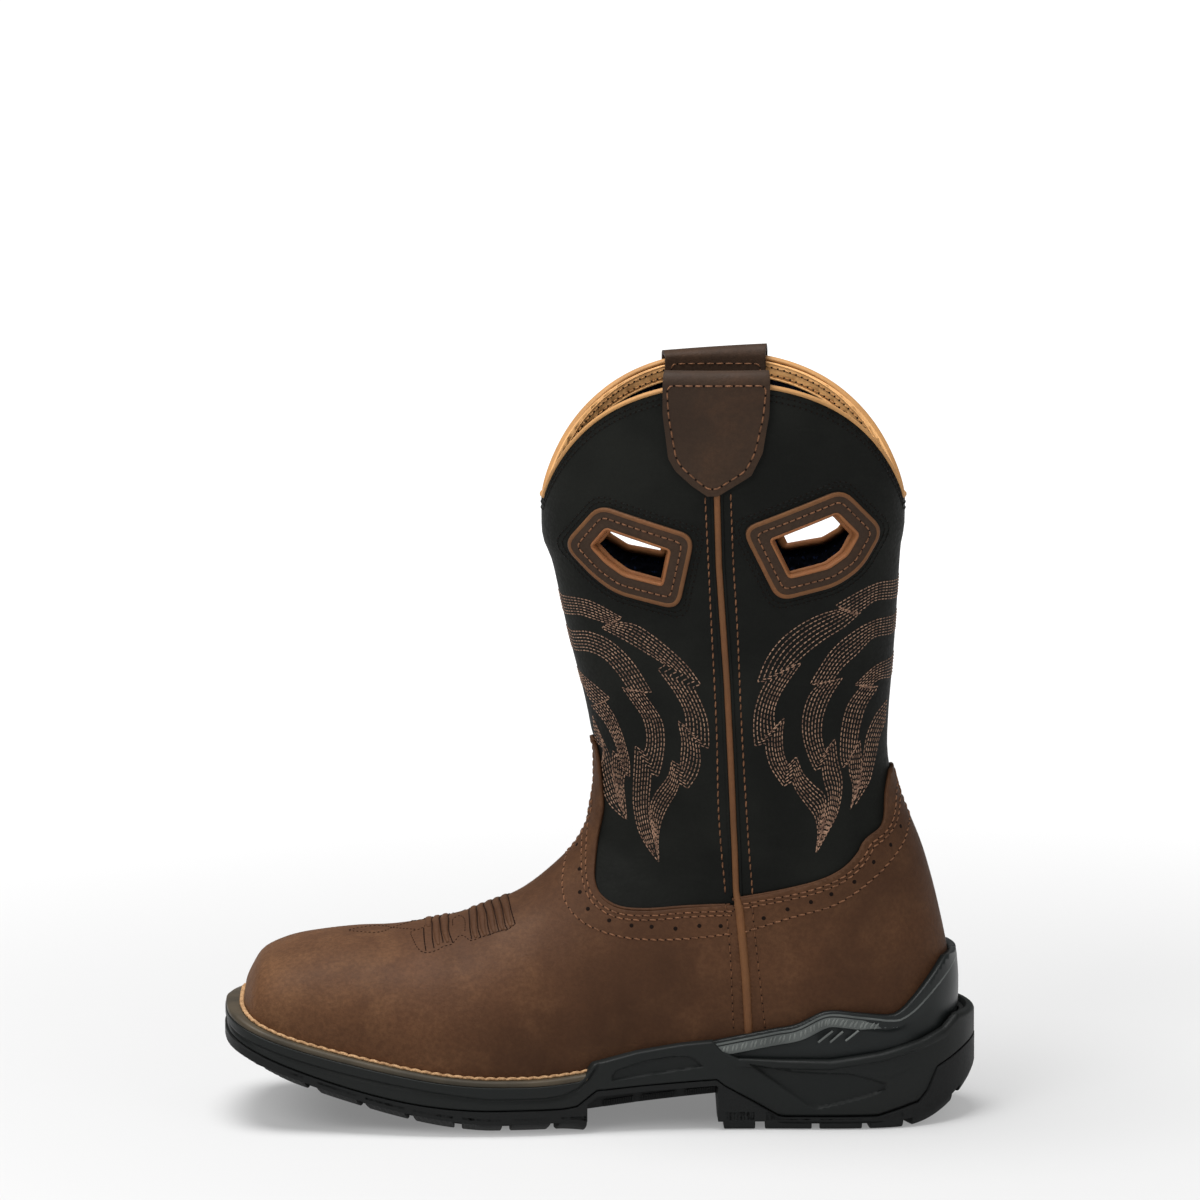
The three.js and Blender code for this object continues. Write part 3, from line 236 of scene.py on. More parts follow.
# Flame bands on the outer side, in side-view millimetres: outer edge x and z, inner edge x and z. Each band is a list of
# runs, and the thread jogs back between one run and the next.
FLAMES = [
    [  # front, first
        [(-15.5, 217.0, -14.3, 209.4), (-8.7, 217.7, -8.2, 210.8), (-2.2, 216.7, -3.2, 210.0), (9.0, 211.6, 3.6, 208.6)],
        [(6.4, 209.7, 0.7, 206.4), (15.1, 208.6, 10.2, 202.2), (25.0, 202.1, 18.1, 197.9), (34.9, 193.3, 22.5, 195.4),
         (41.2, 185.0, 26.8, 192.7)],
        [(38.0, 183.8, 23.8, 190.7), (41.7, 176.2, 30.3, 181.9), (44.1, 168.1, 34.5, 173.9), (44.6, 158.1, 35.5, 167.0)],
        [(40.4, 159.7, 32.0, 169.2), (41.0, 152.7, 33.5, 161.6), (39.5, 146.5, 33.3, 155.4), (36.0, 140.8, 33.0, 150.3)],
        [(32.5, 143.0, 29.5, 152.3), (30.9, 138.1, 28.1, 145.8), (27.1, 130.8, 23.1, 137.7), (24.8, 124.3, 20.7, 131.2),
         (23.9, 117.1, 21.4, 123.0), (24.2, 109.1, 23.5, 113.1)],
    ],
    [  # front, second
        [(-11.7, 202.4, -10.2, 194.3), (-4.7, 203.8, -4.7, 195.5), (4.2, 201.1, 1.7, 193.5), (13.1, 193.2, 7.2, 188.0),
         (21.1, 180.9, 12.4, 180.7)],
        [(17.6, 180.4, 9.0, 181.9), (22.1, 174.3, 13.6, 175.7), (25.4, 168.4, 17.6, 169.8), (26.3, 160.7, 19.2, 163.2),
         (25.6, 152.9, 19.1, 158.0), (23.9, 145.1, 18.1, 154.8)],
        [(20.9, 146.1, 14.5, 157.2), (20.6, 140.7, 14.2, 149.5), (20.1, 134.3, 13.8, 140.8), (20.2, 128.0, 13.8, 131.4),
         (21.4, 121.0, 15.7, 121.5), (23.1, 114.0, 19.2, 114.7), (24.2, 108.6, 23.9, 108.8)],
    ],
    [  # front, third
        [(-8.1, 184.7, -6.5, 178.9), (-1.7, 180.7, -4.2, 174.4), (4.0, 176.5, -0.8, 172.3)],
        [(2.0, 174.6, -3.5, 171.4), (6.2, 168.4, 1.4, 166.4), (9.7, 159.5, 5.0, 160.3), (12.0, 150.2, 7.0, 155.3),
         (12.2, 143.0, 7.7, 151.4)],
        [(10.2, 144.5, 5.2, 153.8), (9.7, 139.1, 5.2, 145.6), (10.4, 132.0, 6.4, 136.5), (11.0, 125.0, 9.7, 126.8)],
    ],
    [  # front, fourth
        [(-3.2, 167.0, -2.0, 155.8), (0.2, 159.6, 1.7, 152.3), (3.7, 151.7, -0.3, 141.8), (5.2, 144.5, 1.4, 135.4),
         (7.7, 135.7, 4.2, 130.0), (10.8, 124.8, 10.2, 125.1)],
    ],
    [  # back, first
        [(122.2, 223.4, 121.7, 216.1), (114.4, 224.2, 113.4, 217.2), (106.3, 221.8, 107.9, 214.4),
         (96.4, 216.9, 103.4, 211.7)],
        [(99.2, 215.3, 106.9, 213.1), (90.4, 213.4, 99.9, 207.6), (81.9, 209.5, 92.4, 203.4), (74.0, 203.5, 86.0, 198.9),
         (68.1, 195.5, 81.5, 195.1), (64.4, 186.1, 78.0, 192.2)],
        [(68.1, 186.4, 82.3, 193.5), (65.2, 180.3, 76.6, 185.6), (63.3, 173.2, 73.1, 179.6), (62.9, 165.7, 71.2, 173.6),
         (63.5, 159.3, 71.5, 167.0)],
        [(67.7, 160.5, 75.4, 170.7), (68.5, 155.0, 74.6, 163.9), (70.5, 149.4, 75.0, 156.8), (75.2, 142.4, 76.9, 150.8)],
        [(78.7, 144.5, 80.4, 154.4), (80.9, 139.7, 83.1, 147.5), (84.6, 134.6, 87.6, 142.3), (88.1, 129.5, 92.1, 137.6),
         (89.3, 122.6, 92.1, 129.3), (88.5, 115.2, 89.6, 117.7)],
    ],
    [  # back, second
        [(120.7, 208.6, 119.7, 201.5), (112.5, 208.6, 112.0, 201.5), (103.4, 204.7, 105.5, 195.8),
         (94.4, 197.4, 99.5, 190.8), (86.0, 184.5, 95.0, 185.1)],
        [(89.5, 183.9, 99.2, 186.0), (85.7, 179.6, 94.5, 179.0), (83.2, 171.6, 91.4, 171.1), (83.1, 163.5, 90.6, 163.6),
         (85.1, 155.4, 91.4, 158.4), (88.1, 148.4, 92.1, 155.9)],
        [(91.1, 149.5, 96.3, 160.8), (91.8, 144.0, 97.2, 152.4), (93.4, 138.5, 99.1, 144.3), (93.6, 134.1, 98.9, 137.5),
         (92.1, 127.4, 97.1, 130.0), (90.1, 120.6, 93.6, 123.4), (88.5, 115.0, 88.9, 115.3)],
    ],
    [  # back, third
        [(119.8, 190.9, 119.5, 182.6), (112.6, 189.0, 114.7, 183.4), (104.3, 182.4, 109.6, 180.3)],
        [(107.6, 182.2, 114.2, 180.4), (101.6, 174.2, 109.1, 173.2), (99.1, 164.3, 106.6, 165.4),
         (98.6, 154.3, 105.5, 159.0), (99.6, 148.5, 104.7, 155.6)],
        [(102.2, 150.4, 106.7, 158.8), (102.5, 145.9, 107.2, 151.2), (103.7, 140.9, 107.2, 144.3),
         (103.7, 136.1, 105.7, 138.7), (102.7, 131.6, 103.2, 132.3)],
    ],
    [  # back, fourth
        [(118.1, 173.3, 117.4, 164.8), (113.2, 168.3, 114.8, 158.6), (109.7, 160.8, 113.3, 151.9),
         (108.2, 153.0, 112.0, 146.4), (106.7, 145.4, 110.2, 140.9), (102.9, 131.6, 104.7, 133.1)],
    ],
]
# Stitch rows beside the side seam, punched holes and the second stitch row of the foot, in the side view.
SEAM_STITCHES = [
    [(42.8, 263.6), (44.2, 235.9), (45.6, 207.9), (47.7, 166.0), (48.5, 133.7), (50.2, 110.0), (51.0, 102.4),
     (53.4, 72.4), (54.8, 41.9)],
    [(53.2, 265.0), (54.4, 235.9), (56.1, 208.0), (58.0, 166.1), (60.8, 119.8), (62.5, 98.6), (63.9, 77.8),
     (67.8, 41.9)],
]
PUNCHED = [(-8.2, 110.9), (-7.6, 102.9), (-7.7, 94.6), (-4.6, 88.7), (4.0, 84.8), (13.1, 83.1), (21.3, 82.8),
           (31.0, 82.2), (40.8, 83.3), (49.6, 83.4), (67.4, 87.3), (77.1, 91.3), (86.6, 94.5), (94.8, 97.7), (103.9, 102.5),
           (111.5, 109.6), (118.3, 115.3), (122.3, 121.3)]
SECOND_ROW_FRONT = [(-3.4, 150.0), (-5.5, 138.0), (-8.0, 124.0), (-10.5, 112.0), (-13.6, 103.0), (-14.7, 96.0),
                    (-13.0, 89.3), (-5.5, 82.9), (8.2, 78.7), (23.3, 77.7), (40.0, 78.6), (54.0, 80.3)]
SECOND_ROW_BACK = [(58.5, 80.8), (78.0, 87.6), (97.1, 93.6), (112.2, 103.7), (121.0, 112.0), (124.8, 118.0),
                   (126.5, 127.0), (125.0, 137.0), (122.5, 142.0)]
# Corded ridges over the toe, seen from above: lines from the middle outwards.
TOE_LINES = [
    [(-37.5, 0.0), (-36.0, 14.6), (-34.5, 22.3)],
    [(-41.0, 0.0), (-39.6, 12.4), (-38.7, 21.0), (-37.6, 23.9)],
    [(-44.2, 0.0), (-42.9, 12.4), (-41.7, 21.4), (-41.1, 23.9)],
    [(-47.5, 0.0), (-46.2, 11.1), (-45.6, 19.9), (-44.7, 24.5)],
    [(-50.4, 0.0), (-50.0, 10.5), (-49.7, 19.5), (-48.6, 24.5)],
    [(-53.6, 0.0), (-53.4, 7.6), (-53.0, 17.9), (-52.4, 23.8)],
    [(-62.4, 0.0), (-62.0, 5.5), (-61.9, 16.1), (-60.4, 23.7)],
    [(-66.0, 0.0), (-65.6, 6.4), (-65.2, 14.8), (-64.3, 22.7)],
    [(-69.6, 0.0), (-69.0, 4.1), (-68.8, 17.8), (-68.1, 25.0)],
    [(-72.4, 8.4), (-72.1, 18.8), (-71.4, 25.9)],
]
TOE_CURLS = [
    [(-55.2, 18.7), (-55.3, 9.5), (-57.4, 3.2), (-60.2, 5.5), (-60.3, 12.3)],
    [(-34.5, 22.3), (-37.6, 23.9), (-41.1, 23.9), (-45.0, 24.4), (-48.6, 24.5), (-52.7, 24.8), (-54.9, 22.2),
     (-57.4, 20.5), (-60.4, 24.4), (-64.3, 25.2), (-67.0, 26.7), (-72.0, 27.0), (-75.3, 22.7), (-77.7, 12.2),
     (-76.6, 9.7), (-73.3, 8.3), (-70.1, 2.1)],
    [(-104.0, 0.5), (-98.0, 4.5), (-92.7, 6.5), (-88.9, 4.5), (-85.7, 0.0)],
    [(-85.7, 0.0), (-79.4, 5.6), (-75.5, 8.6)],
]
# Sunk panels and a crease of the midsole, in the side view.
WAIST_PANEL = [(5.0, 21.4), (5.0, 24.0), (6.9, 26.2), (17.9, 29.6), (28.9, 31.2), (36.1, 31.2), (39.4, 29.6),
               (42.7, 26.4), (28.9, 24.4)]
HEEL_PANEL = [(60.0, 28.0), (69.9, 20.9), (85.5, 9.6), (89.6, 8.3), (98.6, 10.2), (110.2, 13.1), (117.7, 15.5),
              (118.5, 18.4), (113.7, 20.3), (102.7, 23.2), (80.0, 24.0)]
HEEL_CREASE = [(101.6, 24.3), (110.2, 22.2), (120.0, 21.4), (127.5, 24.3)]
# How far the midsole's groove stands over the sole's spring: place along X and height.
GROOVE_ROWS = [(-150, 0.3), (-125, 0.8), (-95, 1.8), (-78, 2.0), (-60, 1.2), (-45, 0), (-22, 0), (-15, 1.0), (-9, 3.6),
               (-5, 7.3), (-2, 11.5), (2, 17)]
CLIP_CUTS = [((89.5, 36.6), (95.4, 41.3)), ((94.4, 36.6), (99.6, 41.2)), ((100.6, 37.2), (105.9, 41.6))]
TOE_NOTCHES = [-118.9, -98.5, -78.6, -58.8, -38.2, -18.5]
HEEL_NOTCHES = [65.4, 88.3, 109.0, 126.4, 147.0]


def on_rows(rows, at):
    """The second column of a table at places along its first, with straight runs between rows."""
    table = np.array(rows, float)
    return np.interp(at, table[:, 0], table[:, 1])


def soft_step(start, stop, value):
    share = np.clip((np.asarray(value, float) - start) / (stop - start), 0, 1)
    return share * share * (3 - 2 * share)


def curve(a, b, c, d, share):
    """A smooth curve from b to c, led by its neighbours a and d."""
    return 0.5 * (2 * b + (c - a) * share + (2 * a - 5 * b + 4 * c - d) * share**2
                  + (3 * b - a - 3 * c + d) * share**3)


def smooth_line(points, step, closed=False):
    """Points at an even step along a smooth curve through given points."""
    knots = np.array(points, float)
    if closed:
        knots = np.vstack([knots[-1:], knots, knots[:2]])
    else:
        knots = np.vstack([2 * knots[0] - knots[1], knots, 2 * knots[-1] - knots[-2]])
    runs = []
    share = np.linspace(0, 1, 12, endpoint=False)[:, None]
    for a, b, c, d in zip(knots[:-3], knots[1:-2], knots[2:-1], knots[3:]):
        runs.append(curve(a, b, c, d, share))
    runs.append(runs[0][:1] if closed else knots[-2:-1])
    return even_line(np.vstack(runs), step)


def even_line(points, step):
    """The same line with its points at an even step."""
    points = np.asarray(points, float)
    run = np.concatenate([[0], np.cumsum(np.linalg.norm(np.diff(points, axis=0), axis=1))])
    count = max(2, int(round(run[-1] / step)) + 1)
    places = np.linspace(0, run[-1], count)
    return np.stack([np.interp(places, run, points[:, k]) for k in range(points.shape[1])], axis=1)


def run_of(line):
    """The whole length of a line."""
    return np.linalg.norm(np.diff(line, axis=0), axis=1).sum()


def headings(path, closed=False):
    """The direction of a path at each of its points."""
    along = np.gradient(np.asarray(path, float), axis=0)
    if closed:
        along[0] = along[-1] = path[1] - path[-2]
    return along / np.maximum(np.linalg.norm(along, axis=1), 1e-9)[:, None]


def beside(line, distance):
    """A side-view line moved to its right by a distance."""
    along = headings(line)
    return line + distance * np.stack([along[:, 1], -along[:, 0]], axis=1)


def line_distance(points, line):
    """The distance from each point to a line."""
    best = np.full(len(points), 1e9)
    for a, b in zip(line[:-1], line[1:]):
        run = b - a
        share = np.clip(((points - a) @ run) / max(run @ run, 1e-9), 0, 1)
        best = np.minimum(best, np.linalg.norm(points - a - share[:, None] * run, axis=1))
    return best


def within(points, outline):
    """How far each point lies inside a closed side-view outline; negative outside."""
    outline = np.asarray(outline, float)
    ring = np.vstack([outline, outline[:1]])
    odd = np.zeros(len(points), bool)
    for a, b in zip(ring[:-1], ring[1:]):
        crosses = (a[1] > points[:, 1]) != (b[1] > points[:, 1])
        reach = a[0] + (points[:, 1] - a[1]) * (b[0] - a[0]) / (b[1] - a[1] if b[1] != a[1] else 1e-9)
        odd ^= crosses & (points[:, 0] < reach)
    distance = line_distance(points, ring)
    return np.where(odd, distance, -distance)


def with_neighbours(corners):
    """Each corner of a closed outline, between the one before and the one after."""
    return zip(np.roll(corners, 1, 0), corners, np.roll(corners, -1, 0))


def rounded(corners, radius):
    """A closed outline with its corners rounded."""
    made = []
    for before, corner, after in with_neighbours(np.array(corners, float)):
        back, ahead = before - corner, after - corner
        reach = min(radius, 0.45 * np.linalg.norm(back), 0.45 * np.linalg.norm(ahead))
        start = corner + back / np.linalg.norm(back) * reach
        stop = corner + ahead / np.linalg.norm(ahead) * reach
        for share in np.linspace(0, 1, 7):
            made.append((1 - share) ** 2 * start + 2 * share * (1 - share) * corner + share**2 * stop)
    return np.array(made)


def spring_share(x):
    return np.maximum(0, (BALL_X - x) / (BALL_X - TOE_END))


def feather_z(x):
    """The line where the upper meets the sole."""
    x = np.asarray(x, float)
    rise = (SEAT_HEIGHT - BALL_THICKNESS) * soft_step(-0.1, 0.25, x / SOLE_LENGTH)
    return BALL_THICKNESS + TOE_SPRING * spring_share(x) ** 1.87 + rise


def welt_z(x):
    """The top of the welt."""
    return feather_z(x) - 1.5 + 1.5 * np.exp(-((np.asarray(x, float) + 92) / 36) ** 2)


def tread_z(x):
    """The bottom of the tread."""
    x = np.asarray(x, float)
    roll = np.maximum(0, (x / SOLE_LENGTH - 0.39) / 0.11)
    return 1.16 * TOE_SPRING * spring_share(x) ** 1.6 + HEEL_ROLL * roll**2.4


def parting_z(x):
    """The line between tread and midsole."""
    x = np.asarray(x, float)
    front = 10.2 + 1.12 * TOE_SPRING * spring_share(x) ** 1.87
    step = 10.2 - PARTING_ROWS[0][1] * SEAT_HEIGHT
    rear = SEAT_HEIGHT * on_rows(PARTING_ROWS, x / SOLE_LENGTH) + step * (1 - soft_step(-0.05, 0, x / SOLE_LENGTH))
    return np.where(x <= PARTING_ROWS[0][0] * SOLE_LENGTH, front, rear)


def midsole_top_z(x):
    """The top of the midsole's edge."""
    x = np.asarray(x, float)
    share = x / SOLE_LENGTH
    wall = feather_z(x) + SEAT_HEIGHT * on_rows(WAIST_WALL_ROWS, share)
    ledge = SEAT_HEIGHT * on_rows(LEDGE_ROWS, share)
    under_welt = welt_z(x) - WELT_THICKNESS
    start = soft_step(-0.03, -0.006, share)
    return np.where(share < -0.006, under_welt + (wall - under_welt) * start, np.where(share < 0.185, wall, ledge))


def seam_x(z):
    """The side seam, leaning forward as it rises."""
    low = feather_z(SEAM_ROWS[0][1] * SOLE_LENGTH)
    return SOLE_LENGTH * on_rows(SEAM_ROWS, (np.asarray(z, float) - low) / (COLLAR_TOP - low))


def over_foot(z):
    """1 where the side seam runs between vamp and counter, 0 up the shaft."""
    return 1 - soft_step(90, 99, z)


def foot_seam_x(z):
    """The side seam with its small step back where it meets vamp and counter."""
    return seam_x(z) + 1.2 * over_foot(z)


def collar_z(x, lift=0.0):
    """Height of the collar's edge."""
    share = np.clip((np.asarray(x, float) - SHAFT_CENTRE) / (SHAFT_LENGTH / 2), -1, 1)
    side = np.sqrt(1 - share * share)
    return COLLAR_TOP + lift - COLLAR_DIP * (1 - side ** (1.45 - 0.5 * side))


def hole_outline(behind, margin):
    """A pull hole's outline in the side view, grown by a margin."""
    middle = COLLAR_TOP - PULL_HOLE_DROP + (PULL_HOLE_RISE if behind else 0)
    wide, tall = PULL_HOLE_UNIT
    rows = REAR_HOLE_ROWS if behind else FRONT_HOLE_ROWS
    corners = np.array([(seam_x(middle) + wide * a, middle + tall * b) for a, b in rows], float)
    moved = []
    for before, corner, after in with_neighbours(corners):
        a = (corner - before) / np.linalg.norm(corner - before)
        b = (after - corner) / np.linalg.norm(after - corner)
        out = np.array([a[1] + b[1], -a[0] - b[0]])
        out /= np.linalg.norm(out)
        moved.append(corner + out * margin / (out[0] * a[1] - out[1] * a[0]))
    return np.array(moved)


class Form:
    """The last that every leather follows, with its soft places, as a fine net of points and normals."""

    rows, columns = 261, 241

    def __init__(self):
        self.table = self.sections()
        fine = np.linspace(0, len(self.table) - 1, 1200)
        run = np.zeros(len(fine))
        for turn in (0.0, 0.5, 1.0):
            points = self.at(fine, np.full(len(fine), turn))
            run[1:] += np.cumsum(np.linalg.norm(np.diff(points, axis=0), axis=1))
        self.places = np.interp(np.linspace(0, run[-1], self.rows), run, fine)
        self.turns = np.linspace(-1, 1, self.columns)
        row, turn = np.meshgrid(self.places, self.turns, indexing="ij")
        points = self.at(row.ravel(), turn.ravel()).reshape(self.rows, self.columns, 3)
        normals = self.normals_of(points)
        points += normals * self.relief(points)[..., None]
        self.points, self.normals = points, self.normals_of(points)
        self.tree = BVHTree.FromPolygons(
            [Vector(p) for p in self.points.reshape(-1, 3)],
            [(r * self.columns + c, (r + 1) * self.columns + c, (r + 1) * self.columns + c + 1, r * self.columns + c + 1)
             for r in range(self.rows - 1) for c in range(self.columns - 1)])

    @staticmethod
    def sections():
        """Every section in millimetres: top x and z, end x and z, outer, inner, widest, crown, foot, base."""
        made = []
        for top, rise, end, lift, outer, inner, widest, crown, foot, base in FOOT_ROWS:
            top_x, end_x = top * SOLE_LENGTH, end * SOLE_LENGTH
            end_z = feather_z(end_x) - SKIRT if lift is None else SEAT_HEIGHT + lift * VAMP_HEIGHT
            made.append((top_x, feather_z(top_x) + rise * VAMP_HEIGHT, end_x, end_z, outer * BALL_WIDTH,
                         inner * BALL_WIDTH, widest, crown, foot, base))
        for front, front_up, back, back_up, half, widest, crown, foot in SHAFT_ROWS:
            made.append((SHAFT_CENTRE + front * SHAFT_LENGTH, ANKLE_BEND + front_up * SHAFT_RISE,
                         SHAFT_CENTRE + back * SHAFT_LENGTH, ANKLE_BEND + back_up * SHAFT_RISE, half * SHAFT_BREADTH,
                         half * SHAFT_BREADTH, widest, crown, foot, 0.0))
        return np.array(made, float)

    def at(self, row, turn):
        """Points of the bare last. row counts sections; turn runs from -1 (outer side, below) to 1 (inner side)."""
        table = self.table
        first = np.clip(np.floor(row).astype(int), 0, len(table) - 2)
        share = (row - first)[:, None]
        pick = lambda k: table[np.clip(first + k, 0, len(table) - 1)]
        a, b, c, d = pick(-1), pick(0), pick(1), pick(2)
        a = np.where((first == 0)[:, None], 2 * b - c, a)
        d = np.where((first == len(table) - 2)[:, None], 2 * c - b, d)
        top_x, top_z, end_x, end_z, outer, inner, widest, crown, foot, base = curve(a, b, c, d, share).T
        base = np.maximum(base, 0)
        half = np.where(turn < 0, -outer, inner)
        angle = np.abs(turn) * np.pi
        upper = angle <= np.pi / 2
        power = 2 / np.where(upper, crown, foot)
        depth = np.abs(np.cos(angle)) ** power
        width = np.abs(np.sin(angle)) ** power
        down = np.where(upper, widest * (1 - depth), widest + (1 - widest) * depth)
        y = half * np.where(upper, width, base + (1 - base) * width)
        return np.stack([top_x + (end_x - top_x) * down, y, top_z + (end_z - top_z) * down], axis=1)

    @staticmethod
    def normals_of(points):
        normals = np.cross(np.gradient(points, axis=0), np.gradient(points, axis=1))
        return normals / np.maximum(np.linalg.norm(normals, axis=2)[..., None], 1e-9)

    @staticmethod
    def relief(points):
        """How far the leather swells out, front and back, under the collar."""
        x, z = points[..., 0], points[..., 2]
        front = 0.9 * soft_step(0.0, -16.0, x) * soft_step(232, 240, z)
        return front + 0.8 * soft_step(105.0, 118.0, x) * soft_step(236, 244, z)

    def snap(self, points, out):
        """The nearest places on the form, lifted out by a distance, and their normals."""
        placed, normals = [], []
        for point in points:
            spot, normal, _, _ = self.tree.find_nearest(Vector(point))
            placed.append(spot + normal * out)
            normals.append(normal)
        return np.array(placed), np.array(normals)

    def from_side(self, points, side):
        """Places on one side of the form, from the side view. side is -1 for the outer side and 1 for the inner."""
        found = []
        for x, z in points:
            spot = self.tree.ray_cast(Vector((x, side * 200, z)), Vector((0, -side, 0)))[0]
            if spot is None:
                spot = self.tree.find_nearest(Vector((x, side * 2, z)))[0]
            found.append(spot)
        return np.array(found)

    def from_above(self, points):
        """Places on the top of the foot, from above."""
        return np.array([self.tree.ray_cast(Vector((x, y, 200)), Vector((0, 0, -1)))[0] for x, y in points])

    def ring(self, height):
        """Where each column crosses a height line, as a closed loop of places and normals."""
        value = self.points[..., 2] - height(self.points[..., 0])
        places, normals = [], []
        for c in range(self.columns - 1):
            column = value[:, c]
            r = np.nonzero((column[:-1] < 0) & (column[1:] >= 0))[0][-1]
            share = value[r, c] / (value[r, c] - value[r + 1, c])
            places.append(self.points[r, c] * (1 - share) + self.points[r + 1, c] * share)
            normals.append(self.normals[r, c] * (1 - share) + self.normals[r + 1, c] * share)
        places.append(places[0])
        normals.append(normals[0])
        return np.array(places), np.array(normals)


FORM = Form()


def build(bm, name, finish, slot, *nodes, turned=False):
    """A piece from its mesh in millimetres, riding on the boot. finish is its material, slot is not used,
    and nodes are the frame's pieces that it stands for. turned means that its faces look outwards already."""
    bmesh.ops.remove_doubles(bm, verts=bm.verts, dist=0.004)
    if not turned:
        bmesh.ops.recalc_face_normals(bm, faces=bm.faces)
    bmesh.ops.scale(bm, vec=(0.001, 0.001, 0.001), verts=bm.verts)
    for face in bm.faces:
        face.smooth = True
    mesh = bpy.data.meshes.new(name)
    bm.to_mesh(mesh)
    bm.free()
    piece = bpy.data.objects.new(name, mesh)
    bpy.context.scene.collection.objects.link(piece)
    mesh.materials.append(material(finish))
    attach(piece, "root")
    if nodes:
        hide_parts(*nodes)
    return piece


def net(columns, rows, place):
    """A sheet with its points placed by their shares across and along it."""
    bm = bmesh.new()
    bmesh.ops.create_grid(bm, x_segments=columns, y_segments=rows, size=0.5)
    shares = np.array([v.co[:2] for v in bm.verts]) + 0.5
    for vert, spot in zip(bm.verts, place(shares[:, 0], shares[:, 1])):
        vert.co = spot
    return bm


def join(meshes):
    """One mesh from several."""
    whole = bmesh.new()
    for bm in meshes:
        part = bpy.data.meshes.new("part")
        bm.to_mesh(part)
        whole.from_mesh(part)
        bpy.data.meshes.remove(part)
        bm.free()
    return whole


def leather(out, step=1):
    """The whole form as a sheet, lifted out by a distance; step thins its net."""
    picked = FORM.points[::step, ::step] + FORM.normals[::step, ::step] * out
    tall, wide = picked.shape[:2]

    def place(across, along):
        return picked[np.rint(along * (tall - 1)).astype(int), np.rint(across * (wide - 1)).astype(int)]

    bm = net(wide - 1, tall - 1, place)
    bmesh.ops.reverse_faces(bm, faces=bm.faces)
    return bm


def trim(bm, keep):
    """Cuts a sheet along the line where keep, a function of its points, changes sign, and drops the negative side."""
    bm.verts.index_update()
    value = dict(zip(bm.verts, keep(np.array([v.co for v in bm.verts]))))
    crossing = set()
    for edge in list(bm.edges):
        a, b = edge.verts
        if value[a] * value[b] < 0:
            share = value[a] / (value[a] - value[b])
            _, made = bmesh.utils.edge_split(edge, a, min(0.97, max(0.03, share)))
            value[made] = 0.0
            crossing.add(made)
    for face in list(bm.faces):
        marked = [v for v in face.verts if v in crossing]
        if len(marked) == 2:
            try:
                bmesh.utils.face_split(face, marked[0], marked[1])
            except ValueError:
                continue
    away = [f for f in bm.faces if sum(value[v] for v in f.verts) < 0]
    bmesh.ops.delete(bm, geom=away, context="FACES")
    return bm


def cord(path, normals, radius, sides=8, flat=1.0, closed=False, swell=None):
    """A round bead along a path on the leather. swell scales its thickness along the way."""
    beside_path = np.cross(headings(path, closed), normals)
    beside_path /= np.maximum(np.linalg.norm(beside_path, axis=1), 1e-9)[:, None]
    last = len(path) - 1

    def place(across, run):
        at = np.rint(run * last).astype(int)
        angle = across * 2 * np.pi
        thick = radius * (swell[at] if swell is not None else 1.0)
        return (path[at] + beside_path[at] * (np.cos(angle) * thick)[:, None]
                + normals[at] * (np.sin(angle) * thick * flat)[:, None])

    bm = net(sides, last, place)
    if not closed:
        bmesh.ops.remove_doubles(bm, verts=bm.verts, dist=0.001)
        bmesh.ops.holes_fill(bm, edges=[e for e in bm.edges if e.is_boundary], sides=sides)
    return bm


# Dark discs of painted shade where the needle went through, gathered from every stitch row.
NEEDLE_HOLES = bmesh.new()


def stitches(points, out, radius, stitch, slant=0.0, wave=5, inside=False, needle=0.36):
    """A row of stitches through given points on the form: each one stands up between its two holes."""
    path = even_line(points, stitch / wave)
    count = max(1, round((len(path) - 1) / wave))
    path = even_line(points, run_of(path) / (count * wave))
    placed, normals = FORM.snap(path, 0)
    placed = placed + normals * (out(placed) if callable(out) else np.full(len(placed), out))[:, None]
    if inside:
        normals = -normals
    # Painted shade: a dark disc at each needle hole.
    if needle:
        for spot, normal in zip(placed[::wave], normals[::wave]):
            turn = Vector(normal).to_track_quat("Z", "Y").to_matrix().to_4x4()
            turn.translation = Vector(spot + normal * 0.06)
            bmesh.ops.create_circle(NEEDLE_HOLES, cap_ends=True, segments=7, radius=needle, matrix=turn)
    phase = (np.arange(len(placed)) % wave) / wave
    arch = np.sin(np.pi * phase)
    side = np.cross(headings(placed), normals)
    placed = placed + normals * (radius * (1.5 * arch - 1.15))[:, None]
    placed = placed + side * (slant * (phase - 0.5) * (arch > 0.3))[:, None]
    return cord(placed, normals, radius, sides=6, swell=0.5 + 0.5 * arch)


class Value:
    """A number that varies over a surface, written with ordinary arithmetic."""

    def __init__(self, recipe, socket):
        self.recipe, self.socket = recipe, socket

    def math(self, operation, *others):
        return self.recipe.add("ShaderNodeMath", {"operation": operation}, dict(enumerate((self, *others))))

    def __add__(self, other):
        return self.math("ADD", other)

    def __sub__(self, other):
        return self.math("SUBTRACT", other)

    def __mul__(self, other):
        return self.math("MULTIPLY", other)

    def __rsub__(self, other):
        return self.recipe.add("ShaderNodeMath", {"operation": "SUBTRACT"}, {0: other, 1: self})

    __radd__, __rmul__ = __add__, __mul__

    def between(self, low, high):
        """0 below low, 1 above high and soft between them."""
        return self.recipe.add("ShaderNodeMapRange", {"interpolation_type": "SMOOTHSTEP"},
                               {"Value": self, "From Min": low, "From Max": high})


